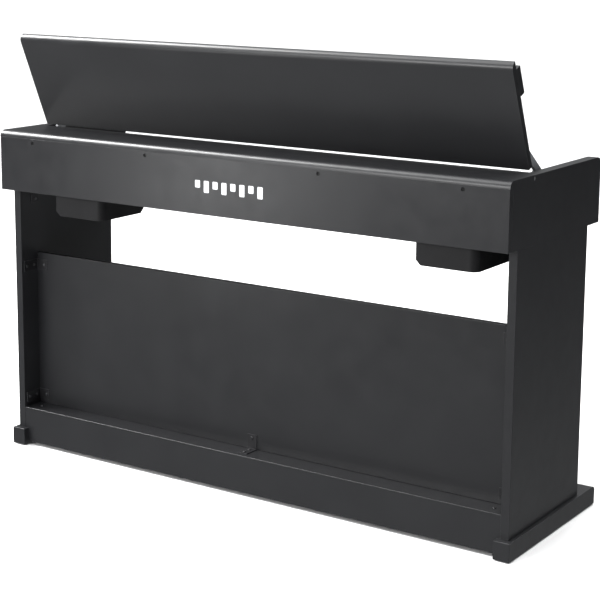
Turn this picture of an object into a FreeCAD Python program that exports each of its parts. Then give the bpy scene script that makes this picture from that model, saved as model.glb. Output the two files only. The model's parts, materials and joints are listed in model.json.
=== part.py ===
import FreeCAD, Part
import math
import os

# Digital piano on a panel stand: 88-key case on two panel legs with a modesty panel,
# a bottom rail with three pedals, and a lid on end arms that stands up as the music rest.
# Millimetres. +Z up, +X to the player's right (treble), -Y towards the player.
# The origin is the bottom centre of the whole object, on the floor.

V = FreeCAD.Vector

# ---------------------------------------------------------------- driving dimensions
# Case
case_width = 1380.0        # over the cheeks
case_depth = 445.0         # rear panel face to cheek front
case_height = 146.0        # cheek height
underside_z = 660.0        # case underside above the floor
cheek_t = 25.0
corner_r = 15.0            # rounded top corners of cheeks, and the noses of the boards
top_board_t = 15.0
top_board_depth = 139.0
rear_panel_t = 15.0
key_bed_t = 15.0
slip_t = 15.0
slip_h = 66.0
edge_r = 1.0               # softened board edges
bed_edge_r = 0.8
slip_edge_r = 2.0
block_edge_r = 1.5
cleat_size = 20.0
rear_screw_inset = 105.0   # case end to the outer screws of the rear panel
rear_screw_pitch = 348.0   # outer to inner screws
rear_screw_drop = 25.0     # case top to the screws
cheek_screw_setback = 112.0
screw_head_r = 4.6
screw_head_h = 2.2
screw_sunk = 0.8           # countersunk heads below the surface
screw_drive_r = 1.4
screw_drive_depth = 1.54
screw_shank_r = 2.0
screw_shank = 28.0

# Stand
leg_t = 20.0
leg_depth = 344.0
leg_setback = 43.0         # case rear face to leg rear edge
foot_w = 38.0
foot_h = 44.0
foot_length = 435.0
foot_setback = 28.0        # case rear face to foot rear end
foot_corner_r = 10.0
pad_h = 2.5
pad_r = 12.0
pad_inset = 26.0           # foot end to the middle of a pad
panel_t = 15.0             # modesty panel
panel_setback = 99.5       # case rear face to the modesty panel's rear face
panel_top_z = 488.0
rail_bottom_z = 9.0
rail_top_z = 97.0
rail_wall = 15.0
rail_setback = 44.0        # case rear face to the rail's rear face
rail_step = 3.0            # rail's front face ahead of the modesty panel

# Lid, its end arms and its folding front flap
lid_t = 16.0
lid_length = 242.0         # along the slope
lid_lean = 23.0            # degrees back from upright when open
lid_rise = 3.5             # open lid's lower edge above the top board
lid_side_gap = 2.0         # lid end to cheek
flap_t = 17.0
flap_height = 62.0
flap_gap = 0.5             # flap to lid, all round its hinge axis
flap_corner_r = 3.0
arm_t = 8.0
arm_foot_start = 3.0       # the arm's foot on the lid, from the lid's lower edge
arm_foot_end = 38.0
arm_waist = (-2.0, 20.0)   # Y-Z steps from the pivot to corners of the arm
arm_crank = (-33.0, 16.0)
arm_chin_drop = 2.0
arm_crank_r = 6.0
arm_side_gap = 2.0         # arm to cheek, filled by a washer
pivot_r = 5.0
running_gap = 0.05         # radial clearance of shafts in their bores
boss_r = 11.0
pin_depth = 13.0
pin_overhang = 2.5         # past the arm's inner face
washer_r = 9.0
clip_r = 8.0
clip_t = 1.5
end_play = 0.3             # arm to its washer and clip, and between hinge knuckles
hinge_inset = 143.0        # lid end to the outer hinges
inner_hinge_x = 175.0
hinge_w = 60.0
barrel_r = 2.4
barrel_gap = 0.4           # barrel to the boards
barrel_end_gap = 0.5
wing_gap = 0.5             # barrel to the flap's leaves beside it
hinge_pin_r = 1.0
leaf_t = 1.2
leaf_l = 12.0

# Keyboard
white_count = 52
key_block_w = 54.0         # from the end keys to a cheek
key_gap = 1.0
key_top_rise = 80.0        # case underside to the tops of the white keys
white_h = 22.0
white_visible = 150.0      # front edge to control panel
head_length = 51.0         # full-width front part of a white key
white_edge_r = 0.9
key_tail = 66.0            # from the control panel's front to the key's rear end
black_w = 10.6
black_rise = 12.0
black_length = 97.0
black_side_gap = 1.0
black_tail = 14.0          # raised part behind the control panel's front
black_nose_drop = 4.0      # nose's upper corner below the white keys
black_nose_rake = 1.5
black_nose_slope = 6.0     # run of the nose up to the top
black_edge_r = 1.4
key_travel = 10.0
key_rod_r = 3.0
key_rod_height = 8.0       # above the undersides of the keys
key_rod_inset = 8.0        # from the key's rear end
slip_clearance = 4.5       # white key front to the key slip
block_rise = 3.0           # key blocks above the white keys
stop_setback = 30.0        # white key fronts to the stop rail
stop_w = 24.0
felt_t = 3.0
felt_gap = 0.6             # stop felt to a key that is fully down
felt_strip_h = 2.2
felt_strip_inset = 0.2
frame_plate_t = 3.0
frame_clearance = 1.0      # frame to the key blocks and to the end keys
frame_end_w = 11.0
frame_end_setback = 8.0    # visible keys to the frame's end plates
frame_tail = 10.0          # frame behind the keys
frame_wall_t = 6.0
frame_rise = 9.0           # frame ends above the rod's axis

# Control panel and music shelf
sheet_t = 3.0
lid_shelf_gap = 3.0        # closed lid to the shelf
shelf_gap = 1.0            # shelf to the top board
shelf_wall_lap = 12.0      # shelf's rear wall up the top board's front edge
panel_front_drop = 14.0
panel_lap = 4.0            # panel's front lip behind the visible keys
panel_nose_r = 2.5
panel_lip_h = 12.5
lip_gap = 3.5              # black key tops to the panel's front lip
arm_slot = 17.0            # free slot beside each cheek for the lid arms
button_r = 5.0
button_rise = 2.6
button_edge_r = 0.8
button_foot_lip = 1.8
knob_r = 9.0
knob_h = 6.0
knob_lift = 0.5            # knob's underside above the panel
knob_edge_r = 1.2
knob_shaft_r = 3.0
knob_foot_r = 5.0
mark_w = 1.2               # pointer groove in the knob
mark_l = 5.0
mark_start = 2.5
mark_depth = 0.6
control_gap = 0.4
control_play = 0.6         # foot of a control below the panel sheet
control_foot_t = 1.6
control_inset = 105.0      # cheek to the power button
volume_inset = 165.0       # cheeks to the volume knob and to the voice button
slot_count = 22
slot_w = 3.0
slot_pitch = 6.0
slot_l = 30.0
upper_speaker_inset = 235.0
upper_driver_r = 24.0
upper_driver_depth = 22.0
shelf_lip_h = 4.0
shelf_lip_t = 3.0

# Speaker boxes under the case
box_w = 142.0
box_depth = 155.0
box_h = 48.0
box_wall = 3.0
box_setback = 2.0          # case rear face to the box
box_floor_inset = 12.0
box_corner_r = 18.0
box_chamfer = 11.0
bass_box_inset = 50.0      # left leg to the box
treble_box_inset = 157.0   # right leg to the box
driver_r = 50.0
driver_depth = 32.0
driver_rim = 9.0           # edge of the driver that the box covers
grille_t = 2.0
grille_inset = 5.0         # driver's edge to the grille's edge
grille_rings = 4
grille_ring_pitch = 9.0
grille_ring_holes = 8      # more holes in each ring than in the one inside it
grille_hole_r = 1.6
driver_offset = 4.0        # driver centre from the box's middle, towards its plain corner

# Connectors and circuit boards
jack_w = 130.0
jack_d = 44.0
jack_h = 16.0
jack_setback = 125.0       # case rear face to the middle of the sockets
jack_edge_r = 1.5
inlet_inset = 10.0
inlet_w = 17.0
inlet_d = 9.0
inlet_depth = 11.0
socket_r = 3.2
socket_depth = 12.0
socket_count = 4
socket_start = 48.0        # jack plate's end to the first round socket
socket_pitch = 20.0
phones_inset = 105.0       # left cheek to the middle of the headphone box
phones_w = 52.0
phones_d = 46.0
phones_h = 26.0
phones_gap = 12.0          # key slip to the headphone box
phones_edge_r = 2.0
phones_socket_pitch = 24.0
phones_socket_depth = 20.0
board_pcb_t = 1.6
board_front_gap = 20.0     # keys to the circuit boards
board_rear_gap = 12.0      # circuit boards to the rear panel
main_board = (-330.0, -60.0)
supply_board = (120.0, 300.0)
transformer = (140.0, 190.0)
transformer_h = 34.0
transformer_inset = 15.0
standoff_h = 8.0
standoff_r = 3.5
standoff_inset = 8.0

# Pedals
pedal_pitch = 62.0
pedal_w = 26.0
pedal_stem_w = 16.0
pedal_t = 7.0
pedal_edge_r = 1.6
pedal_neck = 14.0          # stem in front of the housing
pedal_shoulder = 22.0      # length over which the stem widens to the pad
pedal_boss_wall = 3.5
pedal_travel = 8.0         # degrees
pedal_reach = 84.0         # in front of the housing
housing_w = 236.0
housing_wall = 3.0
housing_front = 76.0       # housing front ahead of the rail's front face
housing_gap = 1.0          # housing to the rail round it
housing_rear_gap = 6.0
housing_corner_r = 8.0
pedal_axle_r = 4.0
pedal_axle_z = 52.0
pedal_axle_inset = 14.0    # housing's rear to the axle
axle_end_gap = 0.5
axle_cheek_t = 3.0         # plates between the pedals that carry the axle
axle_cheek_front = 12.0
axle_cheek_rear = 10.0
axle_cheek_rise = 10.0
pedal_slot_gap = 2.0
pedal_slot_drop = 3.0
adjuster_r = 4.0
adjuster_gap = 0.3
adjuster_knob_r = 17.0
adjuster_knob_gap = 1.5    # knob's top to the housing
adjuster_knob_edge_r = 1.5
adjuster_reach = 14.0      # threaded stem above the housing's floor

# Steel brackets and their screws
steel_t = 2.0
bracket_w = 26.0
bracket_margin = 9.0       # last screw to the bracket's end
bracket_shank = 12.0
bracket_shank_r = 2.0
bracket_hole_r = 2.1
pan_head_r = 4.2
pan_head_h = 2.2
pan_edge_r = 0.9
cap_shank = 2.5
upper_bracket_drop = 29.0  # modesty panel's top to the upper brackets
lower_bracket_rise = 24.0  # rail's top to the lower brackets
case_bracket_rear = 51.0   # leg edges to the brackets under the case
case_bracket_front = 60.0
rail_bracket_gap = 1.0
rail_bracket_x = 4.0
leg_screws = (15.0, 40.0)  # corner to the screws, along each leaf
panel_screws = (24.0,)
rail_end_screws = (30.0,)
rail_leg_screws = (20.0,)
case_screws_along = (14.0, 34.0)
middle_rail_screws = (12.0, 32.0)
middle_panel_screws = (27.0,)

# Working values
overrun = 1.0              # how far a cutting shape runs past the surface
near_zero = 0.01           # lengths below this count as nothing

# ---------------------------------------------------------------- derived places
overall_depth = foot_setback + foot_length
rear_y = overall_depth / 2.0
front_y = rear_y - case_depth
half_w = case_width / 2.0
top_z = underside_z + case_height
inner_x = half_w - cheek_t
bed_top_z = underside_z + key_bed_t
board_under_z = top_z - top_board_t
leg_inner_x = half_w - leg_t
foot_mid_x = half_w - leg_t / 2.0


def behind(distance):
    """Y of a plane that lies this far in front of the case's rear face."""
    return rear_y - distance


panel_rear_y = behind(panel_setback)
panel_front_y = panel_rear_y - panel_t
rail_rear_y = behind(rail_setback)
rail_front_y = panel_front_y - rail_step
shelf_rear_y = behind(top_board_depth) - shelf_gap

slip_top_z = underside_z + slip_h
white_top_z = underside_z + key_top_rise
key_front_y = front_y + slip_t + slip_clearance
key_line_y = key_front_y + white_visible
key_rear_y = key_line_y + key_tail
key_rod_y = key_rear_y - key_rod_inset
key_under_z = white_top_z - white_h
key_rod_z = key_under_z + key_rod_height
black_top_z = white_top_z + black_rise
keys_half = inner_x - key_block_w
white_pitch = 2.0 * keys_half / white_count
lip_z = black_top_z + lip_gap
panel_end_z = lip_z + panel_lip_h
shelf_top_z = panel_end_z + panel_front_drop

lean = math.radians(lid_lean)
lid_closing = 90.0 + lid_lean
lid_half = inner_x - lid_side_gap
closed_rear_y = front_y + lid_length
open_rear = (behind(top_board_depth), top_z + lid_rise)
closed_rear = (closed_rear_y, top_z)


def rotation_centre(before, after, degrees):
    """Centre of the turn that carries one point to another in the Y-Z plane."""
    half = math.radians(degrees) / 2.0
    dy = after[0] - before[0]
    dz = after[1] - before[1]
    scale = 0.5 / math.tan(half)
    return ((before[0] + after[0]) / 2.0 - dz * scale,
            (before[1] + after[1]) / 2.0 + dy * scale)


pivot = rotation_centre(open_rear, closed_rear, lid_closing)


def on_lid(along, outward):
    """Y-Z place on the open lid: along from its lower edge, outward from its outer face."""
    return (open_rear[0] + along * math.sin(lean) - outward * math.cos(lean),
            open_rear[1] + along * math.cos(lean) + outward * math.sin(lean))


# ---------------------------------------------------------------- shape helpers
def block(x0, x1, y0, y1, z0, z1):
    return Part.makeBox(abs(x1 - x0), abs(y1 - y0), abs(z1 - z0),
                        V(min(x0, x1), min(y0, y1), min(z0, z1)))


def soft(shape, radius=edge_r):
    """The shape with every edge rounded."""
    return shape.makeFillet(radius, shape.Edges)


def board(x0, x1, y0, y1, z0, z1, radius=edge_r):
    return soft(block(x0, x1, y0, y1, z0, z1), radius)


def prism_x(points, x0, x1):
    """A Y-Z outline drawn out along X."""
    wire = Part.makePolygon([V(x0, y, z) for y, z in points + points[:1]])
    return Part.Face(wire).extrude(V(x1 - x0, 0, 0))


def prism_z(points, z0, z1):
    """An X-Y outline drawn out along Z."""
    wire = Part.makePolygon([V(x, y, z0) for x, y in points + points[:1]])
    return Part.Face(wire).extrude(V(0, 0, z1 - z0))


def rod_x(x0, x1, y, z, radius):
    return Part.makeCylinder(radius, abs(x1 - x0), V(min(x0, x1), y, z), V(1, 0, 0))


def rod_y(y0, y1, x, z, radius):
    return Part.makeCylinder(radius, abs(y1 - y0), V(x, min(y0, y1), z), V(0, 1, 0))


def rod_z(z0, z1, x, y, radius):
    return Part.makeCylinder(radius, abs(z1 - z0), V(x, y, min(z0, z1)), V(0, 0, 1))


def edges_at(shape, test):
    return [edge for edge in shape.Edges if test(edge)]


def straight_along(edge, axis, tolerance=1e-6):
    """True for a straight edge that runs along one axis."""
    if len(edge.Vertexes) != 2:
        return False
    a = edge.Vertexes[0].Point
    b = edge.Vertexes[1].Point
    spans = [abs(a.x - b.x), abs(a.y - b.y), abs(a.z - b.z)]
    return all(spans[i] < tolerance for i in range(3) if i != axis) and spans[axis] > tolerance


def round_corners(shape, radius, axis, places):
    """Round the edges along one axis that pass through the given places."""
    def near(edge):
        if not straight_along(edge, axis):
            return False
        p = edge.Vertexes[0].Point
        flat = [c for i, c in enumerate((p.x, p.y, p.z)) if i != axis]
        return any(math.hypot(flat[0] - a, flat[1] - b) < near_zero for a, b in places)
    return shape.makeFillet(radius, edges_at(shape, near))


def rim_above(solid, base, axis, height):
    """Round edges of a turned solid that lie above a height along its axis."""
    return [edge for edge in solid.Edges if len(edge.Vertexes) == 1
            and (edge.CenterOfMass - base).dot(axis) > height]


def both_sides(make):
    """The same piece made for the +X and the -X side, as separate solids."""
    return [make(1.0), make(-1.0)]


def group(solids):
    return Part.makeCompound(solids)


nodes = {}


# ---------------------------------------------------------------- case
cheek_screw_y = behind(cheek_screw_setback)
cheek_screw_z = top_z - top_board_t / 2.0
outer_screw_x = half_w - rear_screw_inset
rear_screw_xs = [side * (outer_screw_x - step * rear_screw_pitch)
                 for side in (1.0, -1.0) for step in (0, 1)]
rear_screw_z = top_z - rear_screw_drop


def cheek(side):
    """End board: full profile at the top, rebated at the rear for the rear panel."""
    outer = side * half_w
    inner = side * inner_x
    body = block(inner, outer, front_y, rear_y, underside_z, top_z)
    body = round_corners(body, corner_r, 0, [(rear_y, top_z), (front_y, top_z)])
    body = body.cut(block(inner, outer, behind(rear_panel_t), rear_y, underside_z, board_under_z))
    pin_hole = rod_x(inner, inner + side * pin_depth, pivot[0], pivot[1], pivot_r)
    recess = rod_x(outer - side * screw_head_h, outer, cheek_screw_y, cheek_screw_z, screw_head_r)
    shank = rod_x(inner, outer, cheek_screw_y, cheek_screw_z, screw_shank_r)
    return body.cut(pin_hole).cut(recess).cut(shank)


def top_board():
    body = block(-inner_x, inner_x, behind(top_board_depth), rear_y, board_under_z, top_z)
    body = round_corners(body, corner_r - near_zero, 0, [(rear_y, top_z)])
    body = round_corners(body, edge_r, 0, [(behind(top_board_depth), top_z)])
    for side in (1.0, -1.0):
        end = side * inner_x
        body = body.cut(rod_x(end - side * (screw_shank - cheek_t + screw_head_h), end,
                              cheek_screw_y, cheek_screw_z, screw_shank_r))
    return body


def rear_panel():
    body = board(-half_w, half_w, behind(rear_panel_t), rear_y, underside_z, board_under_z)
    for x in rear_screw_xs:
        body = body.cut(rod_y(rear_y - screw_head_h, rear_y, x, rear_screw_z, screw_head_r))
        body = body.cut(rod_y(behind(rear_panel_t), rear_y, x, rear_screw_z, screw_shank_r))
    return body


def top_cleat():
    """Batten under the top board that the rear panel is screwed to."""
    front = behind(rear_panel_t + cleat_size)
    body = block(-inner_x, inner_x, front, behind(rear_panel_t),
                 board_under_z - cleat_size, board_under_z)
    for x in rear_screw_xs:
        body = body.cut(rod_y(rear_y - screw_shank, behind(rear_panel_t), x,
                              rear_screw_z, screw_shank_r))
    return body


def countersunk_screw(face, inward):
    """Wood screw whose head lies a little below the surface at one place."""
    head = Part.makeCylinder(screw_head_r, screw_head_h - screw_sunk,
                             face + inward * screw_sunk, inward)
    drive = Part.makeCylinder(screw_drive_r, screw_drive_depth, face, inward)
    shank = Part.makeCylinder(screw_shank_r, screw_shank - screw_head_h,
                              face + inward * screw_head_h, inward)
    return head.cut(drive).fuse(shank)


def case_screws():
    """Countersunk screws in the rear panel and in the cheeks."""
    rear = [countersunk_screw(V(x, rear_y, rear_screw_z), V(0, -1, 0)) for x in rear_screw_xs]
    ends = [countersunk_screw(V(side * half_w, cheek_screw_y, cheek_screw_z), V(-side, 0, 0))
            for side in (1.0, -1.0)]
    return group(rear + ends)


def key_bed():
    return board(-inner_x, inner_x, front_y + slip_t, behind(rear_panel_t),
                 underside_z, bed_top_z, bed_edge_r)


def key_slip():
    return board(-inner_x, inner_x, front_y, front_y + slip_t, underside_z, slip_top_z,
                 slip_edge_r)


def key_block(side):
    """Block between the end keys and a cheek."""
    inner = side * (keys_half + key_gap)
    body = block(inner, side * inner_x, key_front_y, key_line_y, bed_top_z,
                 white_top_z + block_rise)
    return soft(body, block_edge_r)


nodes["left_cheek"] = cheek(-1.0)
nodes["right_cheek"] = cheek(1.0)
nodes["top_board"] = top_board()
nodes["rear_panel"] = rear_panel()
nodes["top_cleat"] = top_cleat()
nodes["case_screws"] = case_screws()
nodes["key_bed"] = key_bed()
nodes["key_slip"] = key_slip()
nodes["key_blocks"] = group(both_sides(key_block))


# ---------------------------------------------------------------- lid, arms and flap
def lid():
    """Lid board with a rounded free edge, notched for the flap's hinge barrels."""
    outline = [on_lid(0, 0), on_lid(lid_length, 0), on_lid(lid_length, lid_t), on_lid(0, lid_t)]
    body = prism_x(outline, -lid_half, lid_half)
    nose = on_lid(lid_length, 0)
    body = round_corners(body, corner_r, 0, [nose])
    body = round_corners(body, edge_r, 0, [on_lid(0, 0), on_lid(0, lid_t)])
    for x in hinge_xs:
        body = body.cut(barrel_notch(x))
        body = body.cut(leaf_on_lid(x, hinge_w / 2.0))
    return body


outer_hinge_x = lid_half - hinge_inset
hinge_xs = (-outer_hinge_x, -inner_hinge_x, inner_hinge_x, outer_hinge_x)
flap_along = lid_length - flap_t - flap_gap
flap_axis = on_lid(flap_along, lid_t)


def barrel_notch(x):
    """Room for a hinge barrel in the lid and in the flap."""
    reach = hinge_w / 2.0 + barrel_end_gap
    return rod_x(x - reach, x + reach, flap_axis[0], flap_axis[1], barrel_r + barrel_gap)


def leaf_on_lid(x, half):
    """Hinge leaf let into the lid's inner face, from the axis towards the free edge."""
    near = flap_along
    far = flap_along + leaf_l
    outline = [on_lid(near, lid_t - leaf_t), on_lid(far, lid_t - leaf_t),
               on_lid(far, lid_t), on_lid(near, lid_t)]
    return prism_x(outline, x - half, x + half)


def leaf_on_flap(x, half):
    """Hinge leaf let into the flap's top edge, from the axis outwards."""
    top = flap_along - flap_gap
    outline = [on_lid(top, lid_t), on_lid(top, lid_t + leaf_l),
               on_lid(top - leaf_t, lid_t + leaf_l), on_lid(top - leaf_t, lid_t)]
    return prism_x(outline, x - half, x + half)


def lid_flap():
    top = flap_along - flap_gap
    low = flap_along - flap_height
    near = lid_t + flap_gap
    far = near + flap_t
    outline = [on_lid(low, near), on_lid(top, near), on_lid(top, far), on_lid(low, far)]
    body = prism_x(outline, -lid_half, lid_half)
    body = round_corners(body, flap_corner_r, 0, [on_lid(low, far), on_lid(low, near)])
    for x in hinge_xs:
        body = body.cut(barrel_notch(x))
        body = body.cut(leaf_on_flap(x, hinge_w / 2.0))
    return body


def flap_hinge_leaves():
    """Lid halves of the butt hinges: a leaf, two end knuckles and the pin."""
    solids = []
    start = hinge_w / 6.0 + end_play
    for x in hinge_xs:
        leaf = leaf_on_lid(x, hinge_w / 2.0)
        leaf = leaf.cut(rod_x(x - start, x + start, flap_axis[0], flap_axis[1],
                              barrel_r + barrel_gap))
        for end in (-1.0, 1.0):
            leaf = leaf.fuse(rod_x(x + end * start, x + end * hinge_w / 2.0,
                                   flap_axis[0], flap_axis[1], barrel_r))
        pin = rod_x(x - hinge_w / 2.0, x + hinge_w / 2.0, flap_axis[0], flap_axis[1], hinge_pin_r)
        solids.append(leaf.fuse(pin))
    return group(solids)


def flap_hinge_wings():
    """Flap halves of the butt hinges: a leaf and the middle knuckle."""
    solids = []
    third = hinge_w / 6.0
    for x in hinge_xs:
        wing = leaf_on_flap(x, third)
        wing = wing.fuse(rod_x(x - third, x + third, flap_axis[0], flap_axis[1], barrel_r))
        wing = wing.cut(rod_x(x - third, x + third, flap_axis[0], flap_axis[1],
                              hinge_pin_r + running_gap))
        plate = leaf_on_flap(x, hinge_w / 2.0)
        plate = plate.cut(rod_x(x - hinge_w, x + hinge_w, flap_axis[0], flap_axis[1],
                                barrel_r + wing_gap))
        solids.append(wing.fuse(plate))
    return group(solids)


def lid_arm(side):
    """Cranked arm under the lid's end, from the pivot in the cheek to the lid's inner face."""
    inner = side * (inner_x - arm_side_gap - arm_t)
    outer = side * (inner_x - arm_side_gap)
    foot_low = on_lid(arm_foot_start, lid_t)
    foot_high = on_lid(arm_foot_end, lid_t)
    waist = (pivot[0] + arm_waist[0], pivot[1] + arm_waist[1])
    crank = (pivot[0] + arm_crank[0], pivot[1] + arm_crank[1])
    chin = (pivot[0] - boss_r, pivot[1] - arm_chin_drop)
    heel = (pivot[0] + boss_r, pivot[1])
    outline = [foot_low, foot_high, crank, chin, heel, waist]
    body = prism_x(outline, inner, outer)
    body = round_corners(body, arm_crank_r, 0, [crank])
    body = body.fuse(rod_x(inner, outer, pivot[0], pivot[1], boss_r)).removeSplitter()
    return body.cut(rod_x(inner, outer, pivot[0], pivot[1], pivot_r + running_gap))


def lid_pivot_pin(side):
    """Pin in the cheek with a washer behind the arm and a clip in front of it."""
    cheek_face = side * inner_x
    arm_outer = side * (inner_x - arm_side_gap)
    arm_inner = side * (inner_x - arm_side_gap - arm_t)
    pin = rod_x(cheek_face + side * pin_depth, arm_inner - side * pin_overhang,
                pivot[0], pivot[1], pivot_r)
    washer = rod_x(cheek_face, arm_outer + side * end_play, pivot[0], pivot[1], washer_r)
    clip = rod_x(arm_inner - side * end_play, arm_inner - side * (end_play + clip_t),
                 pivot[0], pivot[1], clip_r)
    return pin.fuse(washer).fuse(clip).removeSplitter()


nodes["lid"] = lid()
nodes["lid_flap"] = lid_flap()
nodes["flap_hinge_leaves"] = flap_hinge_leaves()
nodes["flap_hinge_wings"] = flap_hinge_wings()
nodes["lid_arms"] = group(both_sides(lid_arm))
nodes["lid_pivot_pins"] = group(both_sides(lid_pivot_pin))


# ---------------------------------------------------------------- music shelf and control panel
panel_half = inner_x - arm_slot
shelf_front_y = closed_rear_y + lid_shelf_gap
panel_end_y = key_line_y + panel_lap
slope = math.atan2(shelf_top_z - panel_end_z, shelf_front_y - panel_end_y)
panel_normal = V(0, -math.sin(slope), math.cos(slope))
panel_slope_length = (shelf_front_y - panel_end_y) / math.cos(slope)
control_along = panel_slope_length * 0.5
power_x = control_inset - inner_x
volume_x = volume_inset - inner_x
voice_x = inner_x - volume_inset
upper_speaker_x = inner_x - upper_speaker_inset
upper_speaker_y = (shelf_front_y + shelf_lip_t + shelf_rear_y - sheet_t) / 2.0


def on_panel(distance, depth):
    """Y-Z place on the sloping control panel: distance from its rear edge, depth below it."""
    return (shelf_front_y - distance * math.cos(slope) + depth * math.sin(slope),
            shelf_top_z - distance * math.sin(slope) - depth * math.cos(slope))


def music_shelf():
    """Level shelf behind the controls: music ledge and grille of the upper speakers."""
    body = block(-panel_half, panel_half, shelf_front_y, shelf_rear_y,
                 shelf_top_z - sheet_t, shelf_top_z)
    lip = block(-panel_half, panel_half, shelf_front_y, shelf_front_y + shelf_lip_t,
                shelf_top_z - sheet_t, shelf_top_z + shelf_lip_h)
    wall = block(-panel_half, panel_half, shelf_rear_y - sheet_t, shelf_rear_y,
                 shelf_top_z - sheet_t, board_under_z + shelf_wall_lap)
    body = body.fuse(lip).fuse(wall).removeSplitter()
    for x in (-upper_speaker_x, upper_speaker_x):
        for i in range(slot_count):
            sx = x + (i - (slot_count - 1) / 2.0) * slot_pitch
            body = body.cut(block(sx - slot_w / 2.0, sx + slot_w / 2.0,
                                  upper_speaker_y - slot_l / 2.0, upper_speaker_y + slot_l / 2.0,
                                  shelf_top_z - sheet_t, shelf_top_z))
    return body


def panel_hole(x, radius):
    """Cylinder square to the control panel, at one place along it."""
    top = on_panel(control_along, -overrun)
    return Part.makeCylinder(radius, sheet_t + 2.0 * overrun, V(x, top[0], top[1]),
                             panel_normal * -1.0)


def control_panel():
    """Sloping sheet with a front lip over the keys and closed ends."""
    upright_t = sheet_t / math.cos(slope)
    rise = sheet_t * math.tan(slope)
    outline = [on_panel(0, 0), (panel_end_y, panel_end_z), (panel_end_y, lip_z),
               (panel_end_y + sheet_t, lip_z),
               (panel_end_y + sheet_t, panel_end_z - upright_t + rise),
               (shelf_front_y, shelf_top_z - upright_t)]
    body = prism_x(outline, -panel_half, panel_half)
    body = round_corners(body, panel_nose_r, 0, [(panel_end_y, panel_end_z)])
    body = body.cut(panel_hole(power_x, button_r + control_gap))
    body = body.cut(panel_hole(volume_x, knob_shaft_r + control_gap))
    return body.cut(panel_hole(voice_x, button_r + control_gap))


def control_foot(x, radius):
    """Wider foot that keeps a control in the panel, and the middle of its top face."""
    seat = on_panel(control_along, sheet_t + control_play)
    base = V(x, seat[0], seat[1])
    return Part.makeCylinder(radius, control_foot_t, base, panel_normal * -1.0), base


def push_button(x):
    """Round button on its foot."""
    foot, base = control_foot(x, button_r + button_foot_lip)
    height = sheet_t + control_play + button_rise
    cap = Part.makeCylinder(button_r, height, base, panel_normal)
    cap = cap.makeFillet(button_edge_r, rim_above(cap, base, panel_normal, height / 2.0))
    return cap.fuse(foot)


def volume_knob():
    """Turning knob with a pointer groove, on a shaft through the panel."""
    foot, base = control_foot(volume_x, knob_foot_r)
    stem = sheet_t + control_play + knob_lift
    shaft = Part.makeCylinder(knob_shaft_r, stem, base, panel_normal)
    cap_base = base + panel_normal * stem
    cap = Part.makeCylinder(knob_r, knob_h, cap_base, panel_normal)
    cap = cap.makeFillet(knob_edge_r, rim_above(cap, cap_base, panel_normal, knob_h / 2.0))
    mark = Part.makeBox(mark_w, mark_l, mark_depth + overrun,
                        V(-mark_w / 2.0, mark_start, knob_h - mark_depth))
    mark.Placement = FreeCAD.Placement(cap_base, FreeCAD.Rotation(V(0, 0, 1), panel_normal))
    return shaft.fuse(foot).fuse(cap).cut(mark)


nodes["music_shelf"] = music_shelf()
nodes["control_panel"] = control_panel()
nodes["power_button"] = push_button(power_x)
nodes["voice_button"] = push_button(voice_x)
nodes["volume_knob"] = volume_knob()


# ---------------------------------------------------------------- keyboard
# Semitone layout of an octave from C: white index, or black index after a white key
black_after = {0: -2.5, 1: 2.5, 3: -3.5, 4: 0.0, 5: 3.5}
first_white = 5            # the lowest key is an A, the sixth white key of its octave
middle_octave_white = 23   # white keys below middle C
rod_hole_r = key_rod_r + running_gap


def has_black_after(index):
    step = (index + first_white) % 7
    return step in black_after and index < white_count - 1


def black_centre(index):
    """X of the black key that follows a white key."""
    step = (index + first_white) % 7
    return -keys_half + (index + 1) * white_pitch + black_after[step]


def white_key(index):
    x0 = -keys_half + index * white_pitch + key_gap / 2.0
    x1 = x0 + white_pitch - key_gap
    tail0 = x0
    tail1 = x1
    reach = black_w / 2.0 + black_side_gap
    if index > 0 and has_black_after(index - 1):
        tail0 = black_centre(index - 1) + reach
    if has_black_after(index):
        tail1 = black_centre(index) - reach
    step_y = key_front_y + head_length
    outline = [(x0, key_front_y), (x1, key_front_y), (x1, step_y)]
    if tail1 < x1:
        outline.append((tail1, step_y))
    outline += [(tail1, key_rear_y), (tail0, key_rear_y)]
    if tail0 > x0:
        outline.append((tail0, step_y))
    outline.append((x0, step_y))
    if tail1 == x1:
        outline.remove((x1, step_y))
    if tail0 == x0:
        outline.remove((x0, step_y))
    body = prism_z(outline, key_under_z, white_top_z)
    rim = edges_at(body, lambda e: e.BoundBox.ZMin > white_top_z - near_zero and
                   e.BoundBox.YMax < step_y + near_zero)
    body = body.makeFillet(white_edge_r, rim)
    return body.cut(rod_x(x0 - overrun, x1 + overrun, key_rod_y, key_rod_z, rod_hole_r))


def black_key(index):
    centre = black_centre(index)
    x0 = centre - black_w / 2.0
    x1 = centre + black_w / 2.0
    nose_y = key_line_y - black_length
    stop_y = key_line_y + black_tail
    nose_z = white_top_z - black_nose_drop
    outline = [(nose_y + black_nose_rake, key_under_z), (nose_y, nose_z),
               (nose_y + black_nose_slope, black_top_z), (stop_y, black_top_z), (stop_y, white_top_z),
               (key_rear_y, white_top_z), (key_rear_y, key_under_z)]
    body = prism_x(outline, x0, x1)
    rim = edges_at(body, lambda e: e.BoundBox.ZMin > nose_z - near_zero
                   and e.BoundBox.ZMax > black_top_z - near_zero
                   and e.BoundBox.YMin < stop_y - near_zero)
    body = body.makeFillet(black_edge_r, rim)
    return body.cut(rod_x(x0 - overrun, x1 + overrun, key_rod_y, key_rod_z, rod_hole_r))


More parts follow.
